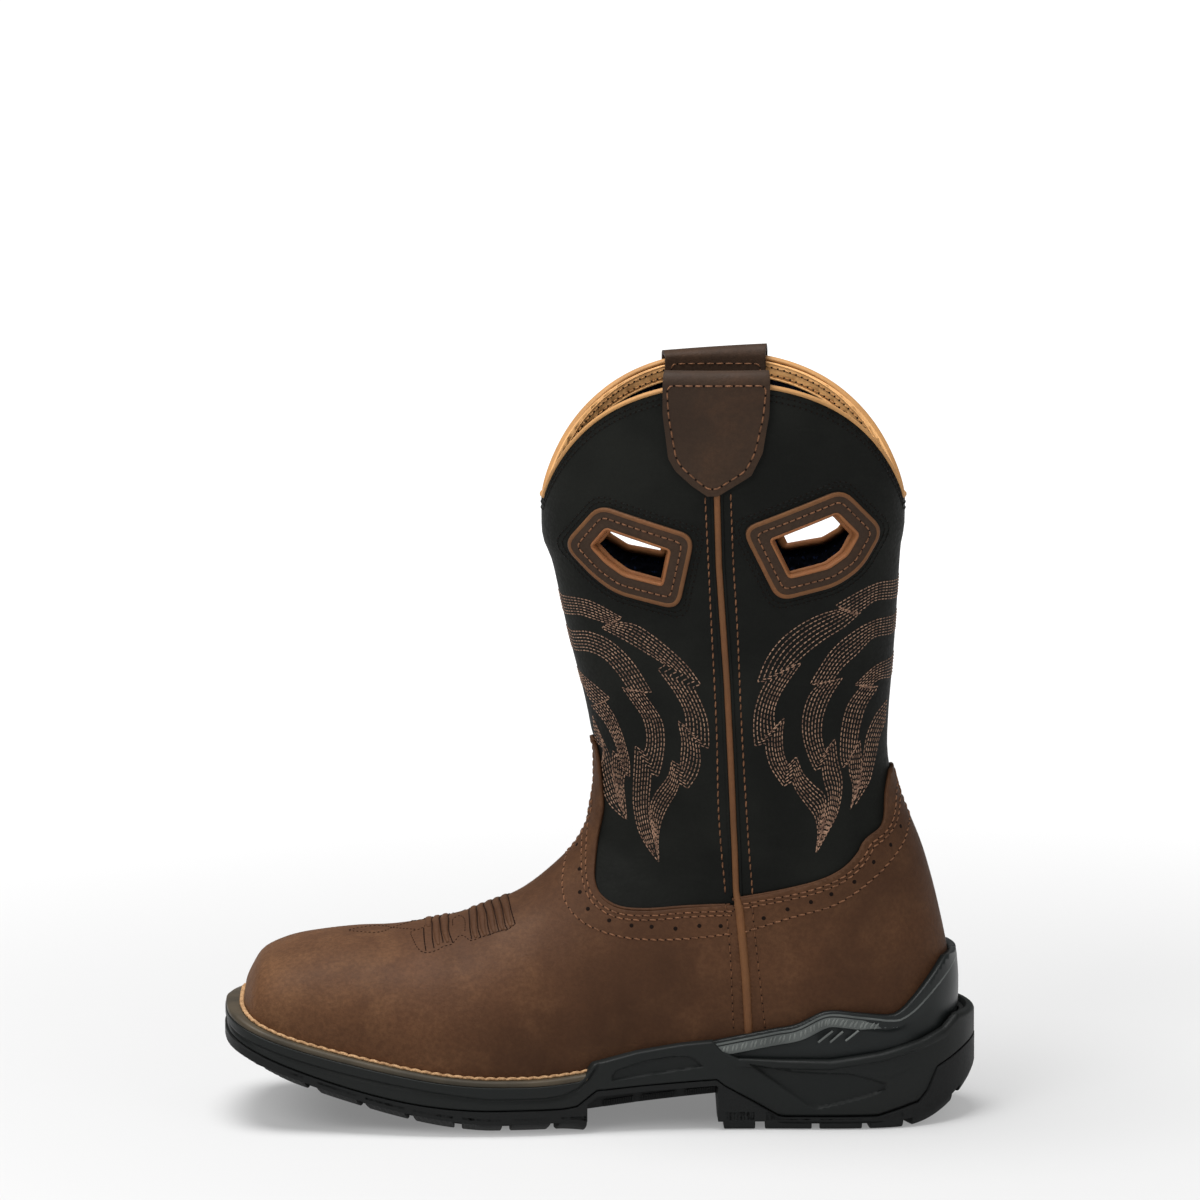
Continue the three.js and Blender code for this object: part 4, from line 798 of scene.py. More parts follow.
class Recipe:
    """A material and its nodes, with one shader."""

    def __init__(self, name, roughness, specular):
        self.material = bpy.data.materials.new(name)
        self.material.use_nodes = True
        self.nodes, self.links = self.material.node_tree.nodes, self.material.node_tree.links
        self.nodes.clear()
        self.shader = self.nodes.new("ShaderNodeBsdfPrincipled")
        self.output = self.nodes.new("ShaderNodeOutputMaterial")
        self.links.new(self.shader.outputs[0], self.output.inputs[0])
        self.shader.inputs["Roughness"].default_value = roughness
        self.shader.inputs["Specular IOR Level"].default_value = specular
        self.place = self.add("ShaderNodeTexCoord", out="Object")

    def set(self, target, value):
        if isinstance(value, Value):
            self.links.new(value.socket, target)
        elif target.type == "RGBA":
            target.default_value = (*value[:3], 1.0)
        else:
            target.default_value = value

    def add(self, kind, settings=None, inputs=None, out=0):
        node = self.nodes.new(kind)
        for key, value in (settings or {}).items():
            setattr(node, key, value)
        for key, value in (inputs or {}).items():
            self.set(node.inputs[key], value)
        return Value(self, node.outputs[out])

    def noise(self, scale, detail=3.0, roughness=0.5, place=None, distortion=0.0):
        return self.add("ShaderNodeTexNoise", None, {"Vector": place or self.place, "Scale": scale, "Detail": detail,
                                                     "Roughness": roughness, "Distortion": distortion})

    def cells(self, scale):
        return self.add("ShaderNodeTexVoronoi", None, {"Vector": self.place, "Scale": scale}, "Distance")

    def along(self, axis):
        """The place along one axis, in metres."""
        return self.add("ShaderNodeSeparateXYZ", None, {0: self.place}, axis)

    def mix(self, share, first, second):
        return self.add("ShaderNodeMix", {"data_type": "RGBA"}, {0: share, 6: first, 7: second}, 2)

    def bump(self, height, strength, distance=0.0005, normal=None):
        inputs = {"Height": height, "Strength": strength, "Distance": distance}
        if normal is not None:
            inputs["Normal"] = normal
        return self.add("ShaderNodeBump", None, inputs)

    def finish(self, **sockets):
        for name, value in sockets.items():
            self.set(self.shader.inputs[name.replace("_", " ")], value)
        return self.material


def oiled_leather(name, base, dark, light, roughness=0.62):
    """Oiled leather: clouds of light and dark, fine grain and dull rubbed places. It is lighter over the toe and darker
    towards the back, partly painted highlight and shade and partly the leather's own tone, and darker low at the waist
    near the sole as painted shade.
    """
    r = Recipe(name, roughness, 0.13)
    clouds = r.noise(17, 3, 0.55, distortion=0.3).between(0.3, 0.68)
    marks = r.noise(48, 4, 0.6, distortion=0.5).between(0.42, 0.74)
    fine = r.noise(560, 3, 0.65)
    x, z = r.along("X"), r.along("Z")
    # Painted light: behind darkens the leather towards the back and toe lightens it over the toe, partly shade and
    # highlight from the lamps above and partly the leather's own tone. Both act on every leather made here.
    behind, toe = x.between(-0.1, 0.02), 1 - x.between(-0.15, -0.09)
    # Painted shade: waist darkens the leather low at the waist, near the sole.
    waist = x.between(-0.07, -0.01) * (1 - x.between(0.02, 0.05)) * (1 - z.between(0.06, 0.12))
    tone = r.mix(clouds * 0.45 + behind * 0.3 + waist * 0.3, base, dark)
    tone = r.mix((marks * 0.4 + toe * 0.4) * (1 - behind * 0.5), tone, light)
    tone = r.mix(fine.between(0.3, 0.7) * 0.42, tone, dark)
    nap = r.bump(r.noise(1500, 2, 0.6), 0.35, 0.0003)
    relief = r.bump(fine * 0.6 + r.cells(900) * 0.25, 0.35, 0.0006, nap)
    return r.finish(Base_Color=tone, Roughness=r.noise(60, 3) * 0.22 + (roughness - 0.1), Normal=relief)


def black_leather(c):
    """Shaft leather: pebbled grain and faint upright wrinkles."""
    r = Recipe("black_shaft_leather", 0.6, 0.08)
    grain = r.cells(620)
    upright = r.add("ShaderNodeMapping", None, {"Vector": r.place, "Scale": (60, 60, 240)})
    wrinkle = r.noise(1.0, 5, 0.6, upright, 0.6)
    clouds = r.noise(18, 3, 0.55)
    tone = r.mix(clouds.between(0.38, 0.7) * 0.7, c.black, c.black_light)
    tone = r.mix(wrinkle.between(0.5, 0.8) * 0.25, tone, c.black_light)
    relief = r.bump(grain * 0.7 + r.noise(1400, 2) * 0.4, 0.3, 0.0004, r.bump(wrinkle, 0.3, 0.0006))
    return r.finish(Base_Color=tone, Roughness=clouds * 0.2 + grain * 0.15 + 0.42, Normal=relief)


def tan_leather(name, tone, shade):
    """Smooth leather of the collar."""
    r = Recipe(name, 0.5, 0.2)
    clouds = r.noise(40, 3).between(0.35, 0.7)
    relief = r.bump(r.noise(900, 3) + r.cells(700) * 0.5, 0.25, 0.0004)
    return r.finish(Base_Color=r.mix(clouds * 0.3, tone, shade), Roughness=clouds * 0.15 + 0.45, Normal=relief)


def spun_thread(name, tone, shade, specular=0.2, uneven=0.5):
    """Twisted thread: fine slanted lines, and stitches that differ a little."""
    r = Recipe(name, 0.55, specular)
    twist = r.noise(2600, 2, 0.5)
    worn = r.noise(430, 2).between(0.42, 0.62) * uneven
    tone = r.mix(worn, tone, shade)
    return r.finish(Base_Color=r.mix(twist.between(0.35, 0.65) * 0.5, tone, shade), Roughness=twist * 0.2 + 0.45,
                    Normal=r.bump(twist, 0.4, 0.0002))


def lining_mesh(c):
    """Knitted lining with light specks."""
    r = Recipe("mesh_lining", 0.9, 0.05)
    knit = r.cells(420)
    tone = r.mix(knit.between(0.1, 0.5), srgb(4, 5, 8), c.lining)
    tone = r.mix(r.noise(650, 1).between(0.62, 0.7) * 0.6, tone, srgb(36, 48, 78))
    return r.finish(Base_Color=tone, Normal=r.bump(knit, 0.6, 0.0008))


# Dark discs laid on the leather where holes are: painted shade standing for the holes' depth.
def punched_hole(c):
    r = Recipe("punched_hole", 0.9, 0.1)
    return r.finish(Base_Color=r.mix(r.noise(300, 2) * 0.5, srgb(16, 10, 7), srgb(34, 22, 15)))


def clip_painted_highlight(name, tone, shade):
    """Lighter grey plastic for the marks, rim and band on the heel clip: painted highlight where they face up to the
    light.
    """
    r = Recipe(name, 0.45, 0.3)
    haze = r.noise(80, 3).between(0.35, 0.7)
    return r.finish(Base_Color=r.mix(haze * 0.4, tone, shade), Roughness=haze * 0.1 + 0.4)


def moulded(name, specular, tone, shade, cloud, share, grain, roughness, relief):
    """Rubber or hard plastic: hazy patches and fine grain. cloud gives the patches' scale, detail, roughness
    and ends; roughness gives what patches and grain add to it, and its base."""
    r = Recipe(name, 0.5, specular)
    haze = r.noise(*cloud[:3]).between(cloud[3], cloud[4])
    fine = r.noise(grain, 2)
    by_haze, by_grain, base = roughness
    return r.finish(Base_Color=r.mix(haze * share, tone, shade), Roughness=haze * by_haze + fine * by_grain + base,
                    Normal=r.bump(fine, relief, 0.0003))


FINISHES = {
    "brown_leather": lambda c: oiled_leather("oiled_brown_leather", c.brown, c.brown_clouds_and_painted_shade, c.brown_rubbed_and_painted_highlight),
    "trim_leather": lambda c: oiled_leather("dark_trim_leather", c.trim, c.trim_dark, c.brown, 0.58),
    "border_leather": lambda c: oiled_leather("border_leather", c.border, c.brown, c.edging, 0.5),
    "edging_leather": lambda c: oiled_leather("hole_edging", c.edging, c.border, c.tan, 0.5),
    "black_leather": black_leather,
    "tan_leather": lambda c: tan_leather("tan_collar_leather", c.tan, c.border),
    # Painted light: a lighter copy of the tan leather for the band and ribs inside the collar, which face away from the
    # lamps.
    "tan_band_painted_lighter": lambda c: tan_leather("tan_collar_band_painted_lighter", srgb(218, 166, 108), c.border),
    "flame_thread": lambda c: spun_thread("flame_thread", c.flame, srgb(84, 58, 46), 0.3, 0.8),
    "seam_thread": lambda c: spun_thread("seam_thread", c.seam, c.brown_clouds_and_painted_shade),
    "brown_thread": lambda c: spun_thread("brown_thread", srgb(108, 71, 45), c.brown_clouds_and_painted_shade),
    "dark_thread": lambda c: spun_thread("dark_thread", srgb(40, 24, 14), srgb(20, 12, 8), 0.05),
    "black_thread": lambda c: spun_thread("black_thread", srgb(14, 15, 14), srgb(26, 27, 25), 0.1),
    "welt_thread": lambda c: spun_thread("welt_thread", c.welt_thread, c.border),
    "tan_thread": lambda c: spun_thread("tan_thread", c.tan, c.border),
    # Painted shade: the dark discs that stand for needle and punched holes.
    "hole_painted_shade": punched_hole,
    # Painted highlight: lighter copies of the clip's plastic for its marks, rim and band.
    "clip_edge_painted_highlight": lambda c: clip_painted_highlight("heel_clip_edge", srgb(108, 112, 109), c.clip),
    "clip_band_painted_highlight": lambda c: clip_painted_highlight("heel_clip_band", srgb(88, 92, 90), c.clip),
    "lining": lining_mesh,
    "rubber": lambda c: moulded("midsole_rubber", 0.2, c.rubber, c.clip, (30, 3, 0.5, 0.35, 0.75), 0.4, 1100,
                                (0.12, 0.12, 0.42), 0.15),
    "tread_rubber": lambda c: moulded("tread_rubber", 0.2, c.tread, c.clip, (45, 4, 0.6, 0.45, 0.75), 0.15, 900,
                                      (0, 0.15, 0.52), 0.25),
    "clip_plastic": lambda c: moulded("heel_clip_plastic", 0.22, c.clip, c.rubber, (35, 3, 0.5, 0.35, 0.7), 0.4, 1300,
                                      (0.1, 0, 0.36), 0.12),
    "welt_rubber": lambda c: moulded("welt_rubber", 0.25, c.welt, c.rubber, (60, 4, 0.5, 0.35, 0.7), 0.5, 1000,
                                     (0.1, 0, 0.5), 0.25),
}
MADE = {}


def material(name):
    """A finished material by its name, made once."""
    if name not in MADE:
        MADE[name] = FINISHES[name](bpy.context.scene.boot_colours)
    return MADE[name]


def thicken(piece, thickness, offset=-1.0):
    """Gives a sheet its thickness, inwards unless offset says otherwise."""
    wall = piece.modifiers.new("Wall", "SOLIDIFY")
    wall.thickness = thickness
    wall.offset = offset
    return wall


def outline_of_edge(rows, unit=VAMP_HEIGHT, base=SEAT_HEIGHT):
    """An edge line's rows as places in the side view."""
    return np.array([(a * SOLE_LENGTH, base + b * unit) for a, b in rows])


class BOOT_OT_shaft(bpy.types.Operator):
    """Build the hollow shaft with its lining"""
    bl_idname = "boot.shaft"
    bl_label = "Shaft"

    def execute(self, context):
        sizes = context.scene.boot_sizes
        bm = leather(0.0, 2)
        trim(bm, lambda p: p[:, 2] - feather_z(p[:, 0]))
        trim(bm, lambda p: collar_z(p[:, 0], 0.8) - p[:, 2])
        for behind in (False, True):
            trim(bm, lambda p: -within(p[:, [0, 2]], hole_outline(behind, 0.6)))
        piece = build(bm, "shaft", "black_leather", "black_leather", "upper", turned=True)
        piece.data.materials.append(material("lining"))
        wall = thicken(piece, sizes.wall)
        wall.material_offset = wall.material_offset_rim = 1
        return {"FINISHED"}


VAMP_EDGE = smooth_line(outline_of_edge(VAMP_ROWS[1:-1]), 1.0)
COUNTER_EDGE = smooth_line(outline_of_edge(COUNTER_ROWS[1:-1]), 1.0)


class BOOT_OT_foot(bpy.types.Operator):
    """Build the vamp and the heel counter with their rolled edges"""
    bl_idname = "boot.foot"
    bl_label = "Vamp and Counter"

    def execute(self, context):
        sizes = context.scene.boot_sizes
        gap = 1000 * sizes.piping / 2 - 0.5
        for name, edge, node, ahead in (("vamp_leather", VAMP_EDGE, "vamp", True),
                                        ("counter_leather", COUNTER_EDGE, "heel_counter", False)):
            before, beyond, low_end, low_start = (200, 40, 200, 300) if ahead else (40, 100, 300, 200)
            region = np.vstack([edge[:1] - (before, 0), edge, edge[-1:] + (beyond, 0), edge[-1:] + (beyond, -low_end),
                                edge[:1] - (before, low_start)])
            sign = 1 if ahead else -1
            bm = leather(OVERLAY_OUT)
            trim(bm, lambda p: p[:, 2] - welt_z(p[:, 0]) + 0.8)
            trim(bm, lambda p: sign * (foot_seam_x(p[:, 2]) - p[:, 0]) - gap)
            trim(bm, lambda p: within(p[:, [0, 2]], region))
            thicken(build(bm, name, "brown_leather", "brown_leather", node, turned=True), sizes.overlay)
            rims = []
            for side in (-1, 1):
                spots = FORM.from_side(edge[::2], side)
                path, normals = FORM.snap(even_line(spots, 0.8), OVERLAY_OUT - 0.75)
                rims.append(cord(path, normals, 500 * sizes.edge, 8))
            build(join(rims), name + "_edge", "brown_leather", "brown_leather")
        return {"FINISHED"}


class BOOT_OT_collar(bpy.types.Operator):
    """Build the rolled collar edge and the tan band inside it"""
    bl_idname = "boot.collar"
    bl_label = "Collar"

    def execute(self, context):
        sizes = context.scene.boot_sizes
        places, normals = FORM.ring(lambda x: collar_z(x, 1.6))
        middle = places - normals * UPPER_WALL / 2
        build(cord(middle, normals, 500 * sizes.binding, 14, 1.9, closed=True), "collar_bead", "tan_leather",
              "tan_leather", "collar_binding")
        bm = leather(-UPPER_WALL - FIT - 0.1, 2)
        trim(bm, lambda p: collar_z(p[:, 0], 0.6) - p[:, 2])
        trim(bm, lambda p: p[:, 2] - collar_z(p[:, 0], -6.2))
        # The band and its ribs take the lighter tan copy, painted light against the shade inside the collar.
        thicken(build(bm, "collar_band", "tan_band_painted_lighter", "tan_leather", "collar_facing", turned=True), 0.0009)
        ribs = []
        for drop, size in ((-0.1, 0.3), (6.0, 0.5)):
            places, normals = FORM.ring(lambda x: collar_z(x, -drop))
            ribs.append(cord(places - normals * 3.9, -normals, size, 8, 0.8, closed=True))
        build(join(ribs), "collar_band_ribs", "tan_band_painted_lighter", "tan_leather")
        rings = lambda *drops: [FORM.ring(lambda x: collar_z(x, -drop))[0] for drop in drops]
        rows = [stitches(places, -4.0, 500 * sizes.thread, 1000 * sizes.stitch * 0.8, inside=True, needle=0.46)
                for places in rings(1.5, 4.5)]
        build(join(rows), "collar_band_stitching", "tan_thread", "tan_leather")
        rows = [stitches(places, 0.0, 480 * sizes.thread, 1000 * sizes.stitch * 0.75, needle=0.42)
                for places in rings(1.6, 3.9)]
        build(join(rows), "collar_stitching", "black_thread", "black_leather")
        return {"FINISHED"}


class BOOT_OT_piping(bpy.types.Operator):
    """Build the bead down each side seam"""
    bl_idname = "boot.piping"
    bl_label = "Side Piping"

    def execute(self, context):
        radius = 500 * context.scene.boot_sizes.piping
        for side, name in ((-1, "outer"), (1, "inner")):
            heights = np.arange(272.0, 36.0, -1.5)
            spots = FORM.from_side(np.stack([foot_seam_x(heights), heights], axis=1), side)
            path, normals = FORM.snap(even_line(spots, 1.0), 0)
            brown = over_foot(path[:, 2])
            path = path + normals * (0.45 + 0.85 * brown)[:, None]
            build(cord(path, normals, radius * 0.8, 14, 0.85, swell=1 + 0.42 * brown), "piping_" + name,
                  "border_leather", "piping_leather", "side_piping_" + name)
            lips = []
            for shift in (-radius - 0.25, radius + 0.25):
                spots = FORM.from_side(np.stack([seam_x(heights) + shift, heights], axis=1), side)
                edge, turned = FORM.snap(even_line(spots, 1.0), 0)
                upper = edge[:, 2] > 95
                lips.append(cord(edge[upper] + turned[upper] * 0.1, turned[upper], 0.75, 8, 0.8))
            build(join(lips), "seam_lips_" + name, "black_leather", "black_leather")
        return {"FINISHED"}


def strap_edges(z):
    """Front and back edges of a strap's outer tab at a height."""
    down = (COLLAR_TOP - np.asarray(z, float)) / STRAP_DROP
    edges = np.array(STRAP_ROWS[:6]), np.array(STRAP_ROWS[:4:-1])
    return [seam_x(COLLAR_TOP) + STRAP_WIDTH * np.interp(down, edge[:, 1], edge[:, 0]) for edge in edges]


def strap_stand(z):
    """How far the middle of a strap's outer tab stands off the shaft leather; it clears the collar's bead."""
    return 1.1 + 1.0 * soft_step(285, 303, z)


class BOOT_OT_straps(bpy.types.Operator):
    """Build the two pull straps with their stitching"""
    bl_idname = "boot.straps"
    bl_label = "Pull Straps"

    def execute(self, context):
        sizes = context.scene.boot_sizes
        for side, name in ((-1, "outer"), (1, "inner")):
            tip, top = COLLAR_TOP - 0.989 * STRAP_DROP, COLLAR_TOP + 1.2
            turn = np.linspace(0, np.pi, 13)[1:-1]
            heights = np.concatenate([tip + (top - tip) * np.linspace(0, 1, 41) ** 0.8, top + 0 * turn,
                                      np.linspace(top, COLLAR_TOP - 26, 22)])
            outside = np.concatenate([np.zeros(41), turn / np.pi, np.ones(22)])
            front, back = strap_edges(heights)
            front, back = np.where(outside > 0, front[40], front), np.where(outside > 0, back[40], back)
            raised = 1.4 if side < 0 else -0.6

            def place(across, along):
                row = np.rint(along * (len(heights) - 1)).astype(int)
                x = front[row] + (back[row] - front[row]) * across
                z, o = heights[row], outside[row]
                spots = FORM.from_side(np.stack([x, z], axis=1), side)
                spots, normals = FORM.snap(spots, 0)
                lift = np.where(o == 0, strap_stand(z), 0)
                lift = np.where(o > 0, 2.1 - 8.1 * (1 - np.cos(o * np.pi)) / 2, lift)
                slope = 1.4 * (across * 2 - 1) if side > 0 else 0.2 * (across - 0.5)
                up = np.sin(o * np.pi) * (3.3 + raised + slope)
                return spots + normals * lift[:, None] + np.array([0, 0, 1.0]) * up[:, None]

            strap = build(net(22, len(heights) - 1, place), "strap_" + name, "trim_leather", "dark_brown_leather",
                          "pull_strap_" + name)
            thicken(strap, sizes.strap, 0.0)
            rounding = strap.modifiers.new("Rounding", "BEVEL")
            rounding.width, rounding.segments, rounding.angle_limit = 0.0005, 2, math.radians(50)
            middle, half, thread, stitch = seam_x(COLLAR_TOP), 500 * sizes.strap, 500 * sizes.thread, 1180 * sizes.stitch
            shape = rounded([(middle + STRAP_WIDTH * a, COLLAR_TOP - STRAP_DROP * max(b, -0.085))
                             for a, b in STRAP_ROWS], 3)
            reach = shape - shape.mean(axis=0)
            shape = shape - reach / np.linalg.norm(reach, axis=1)[:, None] * 3.0
            spots = FORM.from_side(even_line(np.vstack([shape, shape[:1]]), 1.5), side)
            rows = [stitches(spots, lambda spot: half + strap_stand(spot[:, 2]), thread, stitch, needle=0.5)]
            low, high, reach = COLLAR_TOP - 23, COLLAR_TOP - 1.5, STRAP_WIDTH / 2 - 2.6
            corners = [(middle - reach, low), (middle - reach, high), (middle + reach, high), (middle + reach, low)]
            spots = FORM.from_side(even_line(rounded(corners, 2)[:-1], 1.5), side)
            rows.append(stitches(spots, -6.0 - half, thread, stitch, inside=True))
            build(join(rows), "strap_stitching_" + name, "seam_thread", "dark_brown_leather")
        return {"FINISHED"}


class BOOT_OT_frames(bpy.types.Operator):
    """Build the leather frames of the pull holes"""
    bl_idname = "boot.frames"
    bl_label = "Pull-Hole Frames"

    def execute(self, context):
        sizes = context.scene.boot_sizes
        threads, dark = [], []
        for side, side_name in ((-1, "outer"), (1, "inner")):
            for behind, place_name in ((False, "front"), (True, "rear")):
                name = place_name + "_" + side_name
                loops = {}
                for margin, radius in ((8.5, 6.0), (7.5, 5.2), (4.1, 2.6), (1.2, 1.8), (0.0, 1.4), (10.3, 5.2),
                                       (12.0, 6.0)):
                    loop = rounded(hole_outline(behind, margin), radius)
                    loops[margin] = even_line(np.vstack([loop, loop[:1]]), 0.9)
                count = 150
                fit = {margin: even_line(loop, run_of(loop) / count)[:count + 1] for margin, loop in loops.items()}
                outer, inner = fit[8.5], fit[0.0]
                base = FORM.from_side(outer, side), FORM.from_side(inner, side)
                profile = [(0.0, -0.2), (0.0, 1.0), (0.05, 1.5), (0.2, 1.55), (0.45, 1.5), (0.75, 1.5), (0.93, 1.35),
                           (1.0, 0.9), (1.0, -2.9), (0.9, -2.9), (0.9, -0.2)]

                def place(across, along):
                    at = np.rint(across * count).astype(int)
                    step = np.array(profile)[np.rint(along * (len(profile) - 1)).astype(int)]
                    spots = base[0][at] * (1 - step[:, :1]) + base[1][at] * step[:, :1]
                    spots, normals = FORM.snap(spots, 0)
                    return spots + normals * step[:, 1:]

                build(net(count, len(profile) - 1, place), "frame_" + name, "trim_leather", "dark_brown_leather",
                      "pull_hole_trim_" + name)
                path, normals = FORM.snap(FORM.from_side(fit[7.5], side), 1.15)
                bead = cord(path, normals, 500 * sizes.border, 12, 0.62, closed=True)
                build(bead, "frame_border_" + name, "border_leather", "piping_leather")
                lips = []
                for depth, size, flat in ((-0.4, 0.9, 2.2), (-UPPER_WALL - 0.4, 1.7, 0.7)):
                    path, normals = FORM.snap(FORM.from_side(fit[0.0], side), depth)
                    lips.append(cord(path, normals, size, 12, flat, closed=True))
                build(join(lips), "hole_edging_" + name, "edging_leather", "piping_leather")
                threads.append(stitches(FORM.from_side(loops[4.1], side), 1.6, 500 * sizes.thread,
                                        1000 * sizes.stitch * 0.85))
                for margin in (10.3, 12.0):
                    dark.append(stitches(FORM.from_side(loops[margin], side), 0.0, 420 * sizes.thread,
                                         1000 * sizes.stitch * 0.75))
        build(join(threads), "frame_stitching", "seam_thread", "dark_brown_leather")
        build(join(dark), "shaft_stitching", "black_thread", "black_leather")
        return {"FINISHED"}


class BOOT_OT_seams(bpy.types.Operator):
    """Stitch the side seams and the edges of vamp and counter, and lay dark discs of painted shade for the punched
    holes
    """
    bl_idname = "boot.seams"
    bl_label = "Seam Stitching"

    def execute(self, context):
        sizes = context.scene.boot_sizes
        radius, stitch = 500 * sizes.thread, 1000 * sizes.stitch
        rows, low_rows, holes = [], [], []
        for side in (-1, 1):
            for line in SEAM_STITCHES:
                line = smooth_line(line, 1.0)
                on_shaft, on_foot = line[line[:, 1] > 96.5], line[line[:, 1] < 93.5]
                rows.append(stitches(FORM.from_side(on_shaft, side), 0.0, radius, stitch, 0.35))
                low_rows.append(stitches(FORM.from_side(on_foot, side), OVERLAY_OUT, radius, stitch, 0.35))
            for edge in (VAMP_EDGE, COUNTER_EDGE):
                for distance in (2.5, 4.2):
                    line = beside(edge, distance)
                    rows.append(stitches(FORM.from_side(line, side), OVERLAY_OUT, radius, stitch, 0.35))
            for line in (SECOND_ROW_FRONT, SECOND_ROW_BACK):
                rows.append(stitches(FORM.from_side(smooth_line(line, 1.0), side), OVERLAY_OUT, radius, stitch, 0.6))
            # Punched holes: flattened dark discs on the leather, painted shade for the holes' depth.
            spots, normals = FORM.snap(FORM.from_side(PUNCHED, side), OVERLAY_OUT)
            for spot, normal in zip(spots, normals):
                bm = bmesh.new()
                bmesh.ops.create_uvsphere(bm, u_segments=10, v_segments=6, radius=500 * sizes.hole)
                bmesh.ops.scale(bm, vec=(1, 1, 0.12), verts=bm.verts)
                turn = Vector(normal).to_track_quat("Z", "Y").to_matrix()
                bmesh.ops.rotate(bm, matrix=turn, verts=bm.verts)
                bmesh.ops.translate(bm, vec=Vector(spot), verts=bm.verts)
                holes.append(bm)
        build(join(rows), "seam_stitching", "seam_thread", "piping_leather")
        build(join(low_rows), "foot_seam_stitching", "brown_thread", "piping_leather")
        build(join(holes), "punched_holes", "hole_painted_shade", "dark_brown_leather")
        return {"FINISHED"}


class BOOT_OT_flames(bpy.types.Operator):
    """Embroider the flames on both sides of the shaft"""
    bl_idname = "boot.flames"
    bl_label = "Flame Stitching"

    def execute(self, context):
        sizes = context.scene.boot_sizes
        count = sizes.flame_rows
        for side, name in ((-1, "outer"), (1, "inner")):
            for half, bands in (("front", FLAMES[:4]), ("back", FLAMES[4:])):
                rows = []
                for order, band in enumerate(bands):
                    for k in range(count):
                        share = k / (count - 1)
                        line = []
                        for run in band:
                            table = np.array(run)
                            points = table[:, :2] * (1 - share) + table[:, 2:] * share
                            line.append(smooth_line(points, 0.8))
                        line = even_line(np.vstack(line), 0.8)
                        if 0 < k < count - 1:
                            line = line[:-(9 if k % 2 else 4)]
                        spots = FORM.from_side(line, side)
                        if order < 3:
                            start = spots[0].copy()
                            start[1] = 0
                            start[2] += 1.5
                            lead = FORM.snap(even_line(np.array([start, spots[0]]), 1.5), 0)[0]
                            spots = np.vstack([lead[:-1], spots])
                        rows.append(stitches(spots, 0.0, 500 * sizes.flame_thread, 1000 * sizes.flame_stitch, needle=0))
                build(join(rows), "flames_" + half + "_" + name, "flame_thread", "tan_leather")
        return {"FINISHED"}


class BOOT_OT_toe(bpy.types.Operator):
    """Raise the corded ridges over the toe and stitch round them"""
    bl_idname = "boot.toe"
    bl_label = "Toe Ridges"

    def execute(self, context):
        sizes = context.scene.boot_sizes
        rows, ridges = [], []

        def both(line):
            line = np.array(line, float)
            return np.vstack([line[::-1] * (1, -1), line[1:]]) if line[0, 1] == 0 else line

        for line in TOE_LINES + TOE_CURLS:
            for sign in (1, -1):
                spots = FORM.from_above(smooth_line(line, 0.8) * (1, sign))
                out = OVERLAY_OUT + (0.02 if line in TOE_LINES else -0.08)
                rows.append(stitches(spots, out, 0.26, 1.9, needle=0.34))
        for first, second in zip(TOE_LINES[:-1], TOE_LINES[1:]):
            if abs(first[0][0] - second[0][0]) > 4:
                continue
            a, b = smooth_line(both(first), 0.5), smooth_line(both(second), 0.5)
            steps = 44
            a, b = (even_line(line, run_of(line) / steps)[:steps] for line in (a, b))
            path, normals = FORM.snap(FORM.from_above((a + b) / 2), OVERLAY_OUT - 0.1)
            swell = np.sin(np.pi * np.linspace(0.02, 0.98, len(path))) ** 0.3
            ridges.append(cord(path, normals, 1.5, 12, 0.56, swell=swell))
        build(join(ridges), "toe_ridges", "brown_leather", "brown_leather")
        build(join(rows), "toe_stitching", "dark_thread", "dark_brown_leather")
        return {"FINISHED"}


def sole_loop():
    """The sole's outline as a smooth closed loop of places and inward directions."""
    outer = [(a * SOLE_LENGTH, -b * BALL_WIDTH) for a, b, _, _ in OUTLINE_ROWS]
    inner = [(c * SOLE_LENGTH, d * BALL_WIDTH) for _, _, c, d in OUTLINE_ROWS]
    loop = smooth_line([(TOE_END, 0)] + outer + [(-TOE_END, 0)] + inner[::-1], 0.8, closed=True)
    along = headings(loop, closed=True)
    return loop, np.stack([-along[:, 1], along[:, 0]], axis=1)


LOOP, INWARD = sole_loop()
LOOP_COUNT = len(LOOP) - 1


def edge_places(share, inset):
    """Places on the sole's outline at shares round it, moved inwards."""
    at = share * LOOP_COUNT
    low = np.clip(np.floor(at).astype(int), 0, LOOP_COUNT - 1)
    part = (at - low)[:, None]
    point = LOOP[low] * (1 - part) + LOOP[low + 1] * part
    inward = INWARD[low] * (1 - part) + INWARD[low + 1] * part
    return point + inward * np.asarray(inset)[:, None]


def band(columns, levels):
    """A closed band round the sole. Each level is a function of places along X that gives inset and height; a level
    with inset None lies on the middle line."""
    def place(across, along):
        row = np.rint(along * (len(levels) - 1)).astype(int)
        edge = edge_places(across, np.zeros(len(across)))
        made = np.zeros((len(across), 3))
        for k, level in enumerate(levels):
            mine = row == k
            inset, height = level(edge[mine, 0])
            if inset is None:
                made[mine, 0] = np.clip(edge[mine, 0], -138, 138)
                made[mine, 2] = height
            else:
                made[mine, :2] = edge_places(across[mine], np.broadcast_to(inset, mine.sum()))
                made[mine, 2] = height
        return made

    return net(columns, len(levels) - 1, place)


def groove_z(x):
    return GROOVE_HEIGHT + 1.03 * TOE_SPRING * spring_share(np.asarray(x, float)) ** 1.87 + on_rows(GROOVE_ROWS, x)


